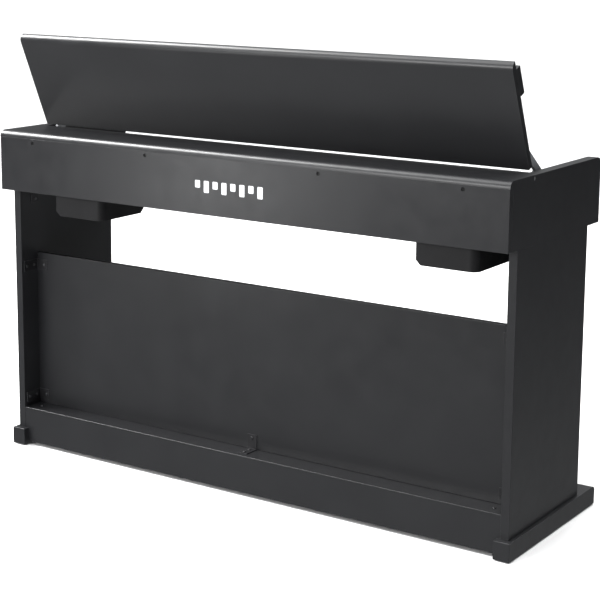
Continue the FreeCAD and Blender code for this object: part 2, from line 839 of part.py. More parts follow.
white_names = ("c", "d", "e", "f", "g", "a", "b")
black_names = {0: "c_sharp", 1: "d_sharp", 3: "f_sharp", 4: "g_sharp", 5: "a_sharp"}
groups = {"white_keys_low": [], "black_keys_low": [], "white_keys_high": [], "black_keys_high": []}
for index in range(white_count):
    step = index - middle_octave_white
    in_middle = 0 <= step < 7
    part_of = "low" if step < 0 else "high"
    if in_middle:
        nodes["key_" + white_names[step]] = white_key(index)
    else:
        groups["white_keys_" + part_of].append(white_key(index))
    if has_black_after(index):
        if in_middle:
            nodes["key_" + black_names[step]] = black_key(index)
        else:
            groups["black_keys_" + part_of].append(black_key(index))
for name, solids in groups.items():
    nodes[name] = group(solids)

frame_end_x = keys_half + key_gap + frame_clearance
frame_half = frame_end_x + frame_end_w
stop_y0 = key_front_y + stop_setback
stop_y1 = stop_y0 + stop_w
stop_drop = key_travel * (key_rod_y - stop_y0) / (key_rod_y - key_front_y)
felt_top_z = key_under_z - stop_drop - felt_gap


def key_frame():
    """Chassis under the keys: base plate, front stop rail and end plates for the rod."""
    rear = key_rear_y + frame_tail
    top = key_rod_z + frame_rise
    body = block(-keys_half, keys_half, stop_y0, rear, bed_top_z, bed_top_z + frame_plate_t)
    body = body.fuse(block(-keys_half, keys_half, stop_y0, stop_y1,
                           bed_top_z, felt_top_z - felt_t))
    body = body.fuse(block(-frame_half, frame_half, key_line_y + frame_clearance, rear,
                           bed_top_z, bed_top_z + frame_plate_t))
    for side in (1.0, -1.0):
        body = body.fuse(block(side * frame_end_x, side * frame_half,
                               key_line_y + frame_end_setback, rear, bed_top_z, top))
    body = body.fuse(block(-frame_half, frame_half, rear - frame_wall_t, rear,
                           bed_top_z, top)).removeSplitter()
    return body.cut(rod_x(-frame_half, frame_half, key_rod_y, key_rod_z, key_rod_r))


def key_felts():
    """Stop felt under the key fronts and the felt strip under the panel's lip."""
    stop = block(-keys_half, keys_half, stop_y0, stop_y1, felt_top_z - felt_t, felt_top_z)
    strip = block(-keys_half, keys_half, panel_end_y + felt_strip_inset,
                  panel_end_y + sheet_t - felt_strip_inset, lip_z - felt_strip_h, lip_z)
    return group([stop, strip])


nodes["key_frame"] = key_frame()
nodes["key_felts"] = key_felts()
nodes["key_pivot_rod"] = rod_x(-frame_half, frame_half, key_rod_y, key_rod_z, key_rod_r)


# ---------------------------------------------------------------- electronics and speakers
def mounted_board(span):
    """Circuit board on four standoffs, between two X places."""
    z = bed_top_z + standoff_h
    body = block(span[0], span[1], board_front_y, board_rear_y, z, z + board_pcb_t)
    for x in (span[0] + standoff_inset, span[1] - standoff_inset):
        for y in (board_front_y + standoff_inset, board_rear_y - standoff_inset):
            body = body.fuse(rod_z(bed_top_z, z, x, y, standoff_r))
    return body


def circuit_boards():
    """Main board and power supply on the bed behind the keys."""
    z = bed_top_z + standoff_h
    coil = block(transformer[0], transformer[1], board_front_y + transformer_inset,
                 board_rear_y - transformer_inset, z, z + transformer_h)
    supply = mounted_board(supply_board).fuse(coil)
    return group([mounted_board(main_board).removeSplitter(), supply.removeSplitter()])


board_front_y = key_rear_y + board_front_gap
board_rear_y = behind(rear_panel_t) - board_rear_gap
flange_t = 3.0


def cone_driver(x, y, z, radius, depth, direction):
    """Loudspeaker: flanged basket with a magnet behind it and a cone in front."""
    axis = V(0, 0, direction)
    front = V(x, y, z)
    basket_depth = depth * 0.6
    dish_depth = depth * 0.45
    flange = Part.makeCylinder(radius, flange_t, front, axis)
    basket = Part.makeCone(radius * 0.86, radius * 0.45, basket_depth, front + axis * flange_t, axis)
    magnet = Part.makeCylinder(radius * 0.5, depth - basket_depth,
                               front + axis * (flange_t + basket_depth), axis)
    body = flange.fuse(basket).fuse(magnet)
    dish = Part.makeCone(radius * 0.8, radius * 0.3, dish_depth, front, axis)
    dome = Part.makeSphere(radius * 0.28, front + axis * dish_depth)
    dome = dome.common(Part.makeCylinder(radius, basket_depth, front, axis))
    return body.cut(dish).fuse(dome).removeSplitter()


bass_box_x = bass_box_inset + box_w / 2.0 - leg_inner_x
treble_box_x = leg_inner_x - treble_box_inset - box_w / 2.0
box_xs = (bass_box_x, treble_box_x)
box_rear_y = behind(box_setback)
box_front_y = box_rear_y - box_depth
box_bottom_z = underside_z - box_h
driver_y = (box_front_y + box_rear_y) / 2.0 - driver_offset


def speaker_box(x):
    """Moulded tray under the case with rounded and bevelled corners, open to the case."""
    x0 = x - box_w / 2.0
    x1 = x + box_w / 2.0
    outer = block(x0, x1, box_front_y, box_rear_y, box_bottom_z, underside_z)
    outer = round_corners(outer, box_corner_r, 2, [(x0, box_rear_y)])
    bevel = [(x1, box_bottom_z), (x1 - box_chamfer, box_bottom_z), (x1, box_bottom_z + box_chamfer)]
    wire = Part.makePolygon([V(a, box_front_y - overrun, b) for a, b in bevel + bevel[:1]])
    outer = outer.cut(Part.Face(wire).extrude(V(0, box_depth + 2.0 * overrun, 0)))
    bevel = [(box_front_y, box_bottom_z), (box_front_y + box_chamfer, box_bottom_z),
             (box_front_y, box_bottom_z + box_chamfer)]
    outer = outer.cut(prism_x(bevel, x0 - overrun, x1 + overrun))
    inner = block(x0 + box_wall, x1 - box_wall, box_front_y + box_wall, box_rear_y - box_wall,
                  box_bottom_z + box_wall + box_chamfer, underside_z)
    inner = round_corners(inner, box_corner_r - box_wall, 2, [(x0 + box_wall,
                                                              box_rear_y - box_wall)])
    floor = block(x0 + box_wall, x1 - box_wall - box_chamfer, box_front_y + box_wall + box_chamfer,
                  box_rear_y - box_wall - box_floor_inset, box_bottom_z + box_wall,
                  box_bottom_z + box_wall + box_chamfer)
    opening = rod_z(box_bottom_z - overrun, box_bottom_z + box_wall + overrun,
                    x - driver_offset, driver_y, driver_r - driver_rim)
    return outer.cut(inner).cut(floor).cut(opening)


def speaker_grille(x):
    """Perforated disc under a speaker box."""
    cx = x - driver_offset
    low = box_bottom_z - grille_t
    disc = rod_z(low, box_bottom_z, cx, driver_y, driver_r - grille_inset)
    for ring in range(1, grille_rings + 1):
        count = ring * grille_ring_holes
        radius = ring * grille_ring_pitch
        for i in range(count):
            angle = 2.0 * math.pi * i / count
            disc = disc.cut(rod_z(low - overrun, box_bottom_z + overrun, cx + radius * math.cos(angle),
                                  driver_y + radius * math.sin(angle), grille_hole_r))
    return disc


def speaker_drivers():
    """Large drivers facing down in the boxes, and small ones facing up under the shelf."""
    solids = [cone_driver(x - driver_offset, driver_y, box_bottom_z + box_wall, driver_r,
                          driver_depth, 1.0) for x in box_xs]
    for x in (-upper_speaker_x, upper_speaker_x):
        solids.append(cone_driver(x, upper_speaker_y, shelf_top_z - sheet_t, upper_driver_r,
                                  upper_driver_depth, -1.0))
    return group(solids)


nodes["circuit_boards"] = circuit_boards()
nodes["speaker_boxes"] = group([speaker_box(x) for x in box_xs])
nodes["speaker_grilles"] = group([speaker_grille(x) for x in box_xs])
nodes["speaker_drivers"] = speaker_drivers()

jack_y = behind(jack_setback)
phones_x = phones_inset - inner_x


def jack_plate():
    """Connector box under the case: mains inlet and round sockets facing down."""
    x0 = -jack_w / 2.0
    low = underside_z - jack_h
    body = board(x0, x0 + jack_w, jack_y - jack_d / 2.0, jack_y + jack_d / 2.0,
                 low, underside_z, jack_edge_r)
    inlet_x = x0 + inlet_inset
    body = body.cut(block(inlet_x, inlet_x + inlet_w, jack_y - inlet_d / 2.0,
                          jack_y + inlet_d / 2.0, low - overrun, low + inlet_depth))
    for i in range(socket_count):
        body = body.cut(rod_z(low - overrun, low + socket_depth,
                              x0 + socket_start + i * socket_pitch, jack_y, socket_r))
    return body


def headphone_box():
    """Box under the bass end of the key bed with two sockets towards the player."""
    y0 = front_y + slip_t + phones_gap
    body = board(phones_x - phones_w / 2.0, phones_x + phones_w / 2.0, y0, y0 + phones_d,
                 underside_z - phones_h, underside_z, phones_edge_r)
    for dx in (-phones_socket_pitch / 2.0, phones_socket_pitch / 2.0):
        body = body.cut(rod_y(y0 - overrun, y0 + phones_socket_depth, phones_x + dx,
                              underside_z - phones_h / 2.0, socket_r))
    return body


nodes["jack_plate"] = jack_plate()
nodes["headphone_box"] = headphone_box()


# ---------------------------------------------------------------- stand
foot_rear_y = behind(foot_setback)
foot_front_y = foot_rear_y - foot_length
leg_rear_y = behind(leg_setback)
leg_front_y = leg_rear_y - leg_depth


def leg(side):
    return board(side * leg_inner_x, side * half_w, leg_front_y, leg_rear_y, foot_h, underside_z)


def foot(side):
    x0 = side * (foot_mid_x - foot_w / 2.0)
    x1 = side * (foot_mid_x + foot_w / 2.0)
    body = block(x0, x1, foot_front_y, foot_rear_y, pad_h, foot_h)
    body = round_corners(body, foot_corner_r, 0, [(foot_front_y, foot_h)])
    reach = foot_corner_r + overrun
    rest = edges_at(body, lambda e: not (straight_along(e, 0) and e.BoundBox.ZMin > foot_h - reach
                                         and e.BoundBox.YMin < foot_front_y + reach))
    return body.makeFillet(edge_r, rest)


def foot_pads():
    solids = []
    for side in (1.0, -1.0):
        for y in (foot_front_y + pad_inset, foot_rear_y - pad_inset):
            solids.append(rod_z(0.0, pad_h, side * foot_mid_x, y, pad_r))
    return group(solids)


def modesty_panel():
    return board(-leg_inner_x, leg_inner_x, panel_front_y, panel_rear_y, rail_top_z, panel_top_z)


housing_half = housing_w / 2.0
housing_rear_y = rail_rear_y - rail_wall - housing_rear_gap
housing_front_y = rail_front_y - housing_front
housing_top_z = rail_top_z - rail_wall - housing_gap
housing_low_z = rail_bottom_z


def bottom_rail():
    """Folded board rail, open underneath, notched for the feet and for the pedal housing."""
    outer = block(-leg_inner_x, leg_inner_x, rail_front_y, rail_rear_y, rail_bottom_z, rail_top_z)
    outer = round_corners(outer, edge_r, 0, [(rail_rear_y, rail_top_z), (rail_front_y, rail_top_z)])
    inner = block(-leg_inner_x, leg_inner_x, rail_front_y + rail_wall, rail_rear_y - rail_wall,
                  rail_bottom_z, rail_top_z - rail_wall)
    gap = block(-housing_half - housing_gap, housing_half + housing_gap, rail_front_y,
                rail_front_y + rail_wall, rail_bottom_z, rail_top_z - rail_wall)
    body = outer.cut(inner).cut(gap)
    for side in (1.0, -1.0):
        body = body.cut(block(side * (foot_mid_x - foot_w / 2.0), side * half_w, rail_front_y,
                              rail_rear_y, rail_bottom_z, foot_h))
    return body


nodes["left_leg"] = leg(-1.0)
nodes["right_leg"] = leg(1.0)
nodes["left_foot"] = foot(-1.0)
nodes["right_foot"] = foot(1.0)
nodes["foot_pads"] = foot_pads()
nodes["modesty_panel"] = modesty_panel()
nodes["bottom_rail"] = bottom_rail()


# ---------------------------------------------------------------- brackets and their screws
def pan_head(base, axis):
    """Rounded screw head standing on a surface."""
    head = Part.makeCylinder(pan_head_r, pan_head_h, base, axis)
    return head.makeFillet(pan_edge_r, rim_above(head, base, axis, pan_head_h / 2.0))


def bracket_joint(corner, first, second, across, first_at, second_at):
    """An angle bracket in a corner, with a screw at each given distance along its leaves.

    first and second are unit directions of the two leaves from the corner, and
    across is the direction of the bracket's width. Screws go into the wall behind each leaf.
    """
    def leaf(along, away, length):
        a = corner - across * (bracket_w / 2.0)
        points = [a, a + along * length, a + along * length + away * steel_t, a + away * steel_t]
        wire = Part.makePolygon(points + points[:1])
        return Part.Face(wire).extrude(across * bracket_w)
    plate = leaf(first, second, max(first_at) + bracket_margin)
    plate = plate.fuse(leaf(second, first, max(second_at) + bracket_margin)).removeSplitter()
    screws = []
    for along, away, places in ((first, second, first_at), (second, first, second_at)):
        for place in places:
            base = corner + along * place
            plate = plate.cut(Part.makeCylinder(bracket_hole_r, steel_t + 2.0 * overrun,
                                                base - away * overrun, away))
            shank = Part.makeCylinder(bracket_shank_r, bracket_shank + steel_t,
                                      base - away * bracket_shank, away)
            screws.append(shank.fuse(pan_head(base + away * steel_t, away)))
    return plate, screws


X = V(1, 0, 0)
Y = V(0, 1, 0)
Z = V(0, 0, 1)
brackets = []
bracket_screw_solids = []


def add_bracket(*arguments):
    plate, screws = bracket_joint(*arguments)
    brackets.append(plate)
    bracket_screw_solids.extend(screws)


def add_cap_screw(place):
    """Black pan-head screw driven down from a surface."""
    shank = rod_z(place.z - cap_shank, place.z, place.x, place.y, bracket_shank_r)
    bracket_screw_solids.append(pan_head(place, Z).fuse(shank))


rail_end_y = rail_rear_y - rail_wall - bracket_w / 2.0 - rail_bracket_gap
for side in (1.0, -1.0):
    for z in (panel_top_z - upper_bracket_drop, rail_top_z + lower_bracket_rise):
        add_bracket(V(side * leg_inner_x, panel_rear_y, z), Y, X * -side, Z, leg_screws, panel_screws)
    add_bracket(V(side * leg_inner_x, rail_end_y, rail_top_z - rail_wall), X * -side,
                Z * -1.0, Y, rail_end_screws, rail_leg_screws)
    add_cap_screw(V(side * (leg_inner_x - rail_end_screws[0]), rail_end_y, rail_top_z))
    for y in (leg_rear_y - case_bracket_rear, leg_front_y + case_bracket_front):
        add_bracket(V(side * leg_inner_x, y, underside_z), Z * -1.0, X * -side, Y,
                    case_screws_along, case_screws_along)
add_bracket(V(rail_bracket_x, panel_rear_y, rail_top_z), Y, Z, X, middle_rail_screws,
            middle_panel_screws)


def bores(shape, screws):
    """The shape with the screws' own space cut out of it."""
    for screw in screws:
        if shape.BoundBox.intersect(screw.BoundBox):
            shape = shape.cut(screw)
    return shape


for name in ("left_leg", "right_leg", "modesty_panel", "bottom_rail", "key_bed"):
    nodes[name] = bores(nodes[name], bracket_screw_solids)
nodes["steel_brackets"] = group(brackets)
nodes["bracket_screws"] = group(bracket_screw_solids)


# ---------------------------------------------------------------- pedals
pedal_xs = (-pedal_pitch, 0.0, pedal_pitch)
pedal_cheek_xs = (-pedal_pitch * 1.5, -pedal_pitch * 0.5, pedal_pitch * 0.5, pedal_pitch * 1.5)
pedal_axle_y = housing_rear_y - pedal_axle_inset
pedal_tip_y = housing_front_y - pedal_reach
adjuster_y = (housing_front_y + housing_rear_y) / 2.0


def pedal_housing():
    """Open-fronted housing in the rail that carries the pedal axle."""
    body = block(-housing_half, housing_half, housing_front_y, housing_rear_y,
                 housing_low_z, housing_top_z)
    body = round_corners(body, housing_corner_r, 0, [(housing_front_y, housing_top_z)])
    inner = block(-housing_half + housing_wall, housing_half - housing_wall,
                  housing_front_y + housing_wall, housing_rear_y - housing_wall,
                  housing_low_z + housing_wall, housing_top_z - housing_wall)
    body = body.cut(inner)
    drop = (pedal_axle_y - housing_front_y) * math.tan(math.radians(pedal_travel))
    half = pedal_stem_w / 2.0 + pedal_slot_gap
    for x in pedal_xs:
        body = body.cut(block(x - half, x + half, housing_front_y - overrun,
                              housing_front_y + housing_wall,
                              pedal_axle_z - pedal_t / 2.0 - drop - pedal_slot_drop,
                              pedal_axle_z + pedal_t / 2.0 + pedal_slot_gap))
    for x in pedal_cheek_xs:
        body = body.fuse(block(x - axle_cheek_t / 2.0, x + axle_cheek_t / 2.0,
                               pedal_axle_y - axle_cheek_front, pedal_axle_y + axle_cheek_rear,
                               housing_low_z + housing_wall / 2.0, pedal_axle_z + axle_cheek_rise))
    body = body.removeSplitter()
    body = body.cut(rod_x(-housing_half, housing_half, pedal_axle_y, pedal_axle_z, pedal_axle_r))
    return body.cut(rod_z(housing_low_z - overrun, housing_low_z + housing_wall + overrun,
                          0.0, adjuster_y, adjuster_r + adjuster_gap))


def pedal(x):
    """Stem on the axle, a boss round it, and a rounded pad in front of the housing."""
    half = pedal_stem_w / 2.0
    wide = pedal_w / 2.0
    z0 = pedal_axle_z - pedal_t / 2.0
    z1 = z0 + pedal_t
    neck_y = housing_front_y - pedal_neck
    shoulder_y = neck_y - pedal_shoulder
    stem = block(x - half, x + half, neck_y, pedal_axle_y, z0, z1)
    blade = prism_z([(x - half, neck_y), (x + half, neck_y), (x + wide, shoulder_y),
                     (x - wide, shoulder_y)], z0, z1)
    pad = block(x - wide, x + wide, pedal_tip_y + wide, shoulder_y, z0, z1)
    tip = rod_z(z0, z1, x, pedal_tip_y + wide, wide)
    front = blade.fuse(pad).fuse(tip).removeSplitter()
    rim = edges_at(front, lambda e: e.BoundBox.ZLength < near_zero
                   and e.BoundBox.YMin < neck_y - near_zero)
    front = front.makeFillet(pedal_edge_r, rim)
    boss = rod_x(x - half, x + half, pedal_axle_y, pedal_axle_z, pedal_axle_r + pedal_boss_wall)
    body = stem.fuse(front).fuse(boss).removeSplitter()
    return body.cut(rod_x(x - half, x + half, pedal_axle_y, pedal_axle_z,
                          pedal_axle_r + running_gap))


def rail_adjuster():
    """Turning foot under the pedal housing that carries the rail on the floor."""
    knob_top = housing_low_z - adjuster_knob_gap
    knob = rod_z(0.0, knob_top, 0.0, adjuster_y, adjuster_knob_r)
    knob = knob.makeFillet(adjuster_knob_edge_r, [e for e in knob.Edges if len(e.Vertexes) == 1])
    return knob.fuse(rod_z(knob_top, housing_low_z + adjuster_reach, 0.0, adjuster_y, adjuster_r))


nodes["pedal_housing"] = pedal_housing()
nodes["pedal_axle"] = rod_x(axle_end_gap - housing_half, housing_half - axle_end_gap,
                            pedal_axle_y, pedal_axle_z, pedal_axle_r)
for name, x in zip(("soft_pedal", "sostenuto_pedal", "damper_pedal"), pedal_xs):
    nodes[name] = pedal(x)
nodes["rail_adjuster"] = rail_adjuster()


# ---------------------------------------------------------------- write the parts
os.makedirs("parts", exist_ok=True)
for name, shape in nodes.items():
    shape.exportStep("parts/" + name + ".step")
print(len(nodes), "nodes")
print("adjuster", adjuster_y)
print("lid pivot", [round(c, 3) for c in pivot], "closing", lid_closing)
print("flap axis", [round(c, 3) for c in flap_axis])
print("key rod", key_rod_y, key_rod_z, "pedal axle", pedal_axle_y, pedal_axle_z)
print("panel slope", math.degrees(slope))
print("controls at", [round(c, 3) for c in on_panel(control_along, 0)])
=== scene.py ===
import bmesh
import bpy
import json
import math
import random
from mathutils import Matrix, Vector, noise


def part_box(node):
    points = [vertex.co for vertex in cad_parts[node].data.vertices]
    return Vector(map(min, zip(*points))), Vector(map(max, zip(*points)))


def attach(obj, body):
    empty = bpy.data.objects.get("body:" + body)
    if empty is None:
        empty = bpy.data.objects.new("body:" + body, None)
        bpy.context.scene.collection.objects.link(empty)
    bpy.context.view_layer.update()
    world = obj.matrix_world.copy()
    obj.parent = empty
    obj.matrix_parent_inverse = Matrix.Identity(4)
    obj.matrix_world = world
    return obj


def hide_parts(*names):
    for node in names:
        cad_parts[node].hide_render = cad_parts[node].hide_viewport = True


# Looks of the digital piano on its panel stand. Metres, +Z up, -Y towards the player.

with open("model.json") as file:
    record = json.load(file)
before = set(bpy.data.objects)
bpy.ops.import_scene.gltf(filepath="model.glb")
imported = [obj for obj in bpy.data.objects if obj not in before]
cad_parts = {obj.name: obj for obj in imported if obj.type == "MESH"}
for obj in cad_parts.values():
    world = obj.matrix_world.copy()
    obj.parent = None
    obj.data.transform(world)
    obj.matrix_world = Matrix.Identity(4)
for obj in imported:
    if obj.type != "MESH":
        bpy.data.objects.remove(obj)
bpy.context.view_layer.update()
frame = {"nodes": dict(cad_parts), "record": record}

MM = 0.001
random.seed(88)


# ---------------------------------------------------------------- materials
EDGE_BENT = 0.86     # cosine between the rounded and the true normal where an edge is fully rubbed
EDGE_FLAT = 0.998    # and where the rub ends


def socket(node, name, value):
    node.inputs[name].default_value = value


class Nodes:
    """A material's node tree, with its shader, its object coordinates and short builders."""

    def __init__(self, name, roughness, metallic=0.0, ior=1.5):
        self.material = bpy.data.materials.new(name)
        self.material.use_nodes = True
        self.tree = self.material.node_tree
        self.shader = self.tree.nodes["Principled BSDF"]
        socket(self.shader, "Roughness", roughness)
        socket(self.shader, "Metallic", metallic)
        socket(self.shader, "IOR", ior)
        self.place = self.add("ShaderNodeTexCoord").outputs["Object"]

    def add(self, kind, **settings):
        node = self.tree.nodes.new(kind)
        for key, value in settings.items():
            setattr(node, key, value)
        return node

    def link(self, output, node, name):
        self.tree.links.new(output, node.inputs[name])

    def noise(self, scale, stretch=(1, 1, 1), detail=3.0, rough=0.55):
        mapping = self.add("ShaderNodeMapping")
        socket(mapping, "Scale", stretch)
        self.link(self.place, mapping, "Vector")
        node = self.add("ShaderNodeTexNoise")
        socket(node, "Scale", scale)
        socket(node, "Detail", detail)
        socket(node, "Roughness", rough)
        self.link(mapping.outputs["Vector"], node, "Vector")
        return node.outputs["Fac"]

    def cells(self, scale):
        node = self.add("ShaderNodeTexVoronoi", feature="SMOOTH_F1")
        socket(node, "Scale", scale)
        self.link(self.place, node, "Vector")
        return node.outputs["Distance"]

    def spread(self, value, low, high, start=0.3, stop=0.7):
        node = self.add("ShaderNodeMapRange")
        for name, number in (("From Min", start), ("From Max", stop), ("To Min", low), ("To Max", high)):
            socket(node, name, number)
        self.link(value, node, "Value")
        return node.outputs["Result"]

    def blend(self, factor, first, second):
        """Colour between two, each a plain colour or another node's output."""
        node = self.add("ShaderNodeMix", data_type="RGBA")
        self.link(factor, node, "Factor")
        for name, colour in (("A", first), ("B", second)):
            target = [s for s in node.inputs if s.name == name and s.type == "RGBA"][0]
            if isinstance(colour, (tuple, list)):
                target.default_value = (*colour, 1.0)
            else:
                self.tree.links.new(colour, target)
        return [s for s in node.outputs if s.type == "RGBA"][0]

    def edges(self, radius):
        """1 along the piece's edges, falling to 0 a radius away from them."""
        bevel = self.add("ShaderNodeBevel", samples=4)
        socket(bevel, "Radius", radius)
        geometry = self.add("ShaderNodeNewGeometry")
        dot = self.add("ShaderNodeVectorMath", operation="DOT_PRODUCT")
        self.tree.links.new(bevel.outputs["Normal"], dot.inputs[0])
        self.tree.links.new(geometry.outputs["Normal"], dot.inputs[1])
        return self.spread(dot.outputs["Value"], 1.0, 0.0, EDGE_BENT, EDGE_FLAT)

    def bump(self, heights):
        """Bumps of (height output, depth in metres) on top of each other."""
        last = None
        for height, depth in heights:
            node = self.add("ShaderNodeBump")
            socket(node, "Strength", 1.0)
            socket(node, "Distance", depth)
            self.link(height, node, "Height")
            if last:
                self.link(last, node, "Normal")
            last = node.outputs["Normal"]
        self.link(last, self.shader, "Normal")

    def paint(self, colour=None, roughness=None):
        if colour:
            self.link(colour, self.shader, "Base Color")
        if roughness:
            self.link(roughness, self.shader, "Roughness")
        return self.material


def laminate():
    """Satin black foil over board: fine pebbled grain, faint press marks and rubbed edges."""
    n = Nodes("black_laminate", 0.34)
    mottle = n.noise(7.0, detail=4.0)
    grain = n.cells(1500.0)
    base = n.blend(n.spread(mottle, 0.0, 1.0), (0.0100, 0.0102, 0.0115), (0.0125, 0.0128, 0.0142))
    speck = n.spread(grain, 0.0, 0.35, 0.2, 0.8)
    base = n.blend(speck, base, (0.018, 0.0183, 0.0198))
    base = n.blend(n.spread(n.edges(1.2 * MM), 0.0, 0.5, 0.0, 1.0), base, (0.055, 0.0555, 0.058))
    rough = n.spread(n.noise(26.0, detail=5.0), 0.29, 0.36)
    n.bump([(n.noise(3.0, detail=1.0), 0.15 * MM), (grain, 0.035 * MM), (n.noise(3200.0), 0.02 * MM)])
    return n.paint(base, rough)


def raw_board():
    """Black-stained particle board, with chips of two sizes."""
    n = Nodes("raw_board", 0.8)
    chips = n.cells(420.0)
    base = n.blend(n.spread(chips, 0.0, 1.0, 0.1, 0.6), (0.02, 0.018, 0.016), (0.055, 0.048, 0.04))
    n.bump([(chips, 0.25 * MM), (n.noise(900.0), 0.1 * MM)])
    return n.paint(base, n.spread(n.noise(300.0), 0.7, 0.9))


def coated(name, dark, light, roughness, grain=1400.0, depth=0.05, metallic=0.0,
           rub=(0.3, 0.3, 0.32), specular=0.5):
    """Paint or fine-grained moulding: mottled colour, spark-eroded grain and lighter edges."""
    n = Nodes(name, roughness, metallic)
    socket(n.shader, "Specular IOR Level", specular)
    base = n.blend(n.spread(n.noise(16.0, detail=4.0), 0.0, 1.0), dark, light)
    base = n.blend(n.spread(n.edges(0.7 * MM), 0.0, 0.4, 0.0, 1.0), base, rub)
    rough = n.spread(n.noise(60.0, detail=5.0), roughness - 0.05, roughness + 0.06)
    n.bump([(n.cells(grain), depth * MM), (n.noise(grain * 2.3), depth * 0.5 * MM)])
    return n.paint(base, rough)


def brushed(name, dark, light, roughness, stretch, rub=(0.9, 0.9, 0.9)):
    """Bare metal with drawn lines along one axis, faint stains and bright edges."""
    n = Nodes(name, roughness, 1.0)
    lines = n.noise(900.0, stretch=stretch, detail=2.0)
    base = n.blend(n.spread(lines, 0.0, 1.0), dark, light)
    base = n.blend(n.spread(n.edges(0.6 * MM), 0.0, 0.5, 0.0, 1.0), base, rub)
    rough = n.spread(n.noise(45.0, detail=6.0), roughness - 0.06, roughness + 0.1)
    n.bump([(lines, 0.012 * MM)])
    return n.paint(base, rough)


def felt():
    """Red wool felt: matted fibres, tufts and a soft sheen."""
    n = Nodes("felt", 0.95)
    socket(n.shader, "Sheen Weight", 0.5)
    socket(n.shader, "Sheen Roughness", 0.4)
    fibres = n.noise(2600.0, stretch=(0.35, 1, 1), detail=4.0, rough=0.7)
    tufts = n.noise(380.0, detail=3.0)
    base = n.blend(n.spread(tufts, 0.0, 1.0), (0.20, 0.008, 0.012), (0.36, 0.016, 0.022))
    base = n.blend(n.spread(fibres, 0.0, 0.5, 0.45, 0.75), base, (0.5, 0.05, 0.06))
    n.bump([(tufts, 0.3 * MM), (fibres, 0.2 * MM)])
    return n.paint(base)


def circuit():
    """Green solder mask with copper tracks just showing through."""
    n = Nodes("circuit_green", 0.3)
    tracks = n.add("ShaderNodeTexBrick", offset=0.5)
    socket(tracks, "Scale", 90.0)
    socket(tracks, "Mortar Size", 0.03)
    socket(tracks, "Color1", (0.012, 0.11, 0.045, 1.0))
    socket(tracks, "Color2", (0.016, 0.14, 0.055, 1.0))
    socket(tracks, "Mortar", (0.05, 0.24, 0.10, 1.0))
    n.link(n.place, tracks, "Vector")
    n.bump([(tracks.outputs["Fac"], 0.05 * MM)])
    return n.paint(tracks.outputs["Color"], n.spread(n.noise(80.0), 0.25, 0.4))


def rubber():
    """Black rubber with dust in patches."""
    n = Nodes("foot_rubber", 0.8)
    dust = n.noise(260.0, detail=5.0)
    base = n.blend(n.spread(dust, 0.0, 1.0, 0.45, 0.8), (0.014, 0.014, 0.014), (0.05, 0.048, 0.045))
    n.bump([(n.noise(1300.0), 0.08 * MM)])
    return n.paint(base, n.spread(dust, 0.7, 0.9))


def ivory():
    """Semi-gloss white key: faint lengthwise streaks, warm tone and slightly uneven gloss."""
    n = Nodes("ivory", 0.28, ior=1.49)
    socket(n.shader, "Subsurface Weight", 0.08)
    socket(n.shader, "Subsurface Radius", (0.004, 0.003, 0.002))
    socket(n.shader, "Subsurface Scale", 1.0)
    streaks = n.noise(420.0, stretch=(1.0, 0.06, 0.5), detail=3.0)
    tone = n.noise(9.0, detail=2.0)
    base = n.blend(n.spread(streaks, 0.0, 1.0), (0.545, 0.535, 0.500), (0.560, 0.549, 0.513))
    base = n.blend(n.spread(tone, 0.0, 0.5), base, (0.545, 0.53, 0.485))
    n.bump([(streaks, 0.004 * MM), (n.noise(1500.0), 0.004 * MM)])
    return n.paint(base, n.spread(n.noise(120.0, detail=5.0), 0.22, 0.32))


def ebony():
    """Black key: fine lengthwise grain, lighter rubbed edges and an unevenly matt surface."""
    n = Nodes("ebony", 0.5)
    grain = n.noise(1100.0, stretch=(1.0, 0.08, 1.0), detail=4.0)
    base = n.blend(n.spread(grain, 0.0, 1.0), (0.010, 0.010, 0.0105), (0.024, 0.0235, 0.024))
    base = n.blend(n.spread(n.edges(1.0 * MM), 0.0, 0.35, 0.0, 1.0), base, (0.06, 0.06, 0.062))
    n.bump([(grain, 0.05 * MM)])
    return n.paint(base, n.spread(n.noise(70.0, detail=5.0), 0.38, 0.55))


def ink():
    """Screen-printed pale ink, slightly uneven, over the foil's grain."""
    n = Nodes("pale_ink", 0.45)
    wear = n.noise(500.0, detail=4.0)
    base = n.blend(n.spread(wear, 0.0, 1.0, 0.3, 0.75), (0.66, 0.67, 0.69), (0.58, 0.59, 0.61))
    n.bump([(n.cells(1500.0), 0.03 * MM)])
    return n.paint(base, n.spread(wear, 0.4, 0.5))


def lamp():
    """Small lit indicator, its red varying at random."""
    n = Nodes("indicator", 0.3)
    glow = n.noise(300.0)
    base = n.blend(n.spread(glow, 0.0, 1.0), (0.55, 0.02, 0.01), (0.8, 0.05, 0.02))
    n.link(base, n.shader, "Emission Color")
    socket(n.shader, "Emission Strength", 0.6)
    return n.paint(base)


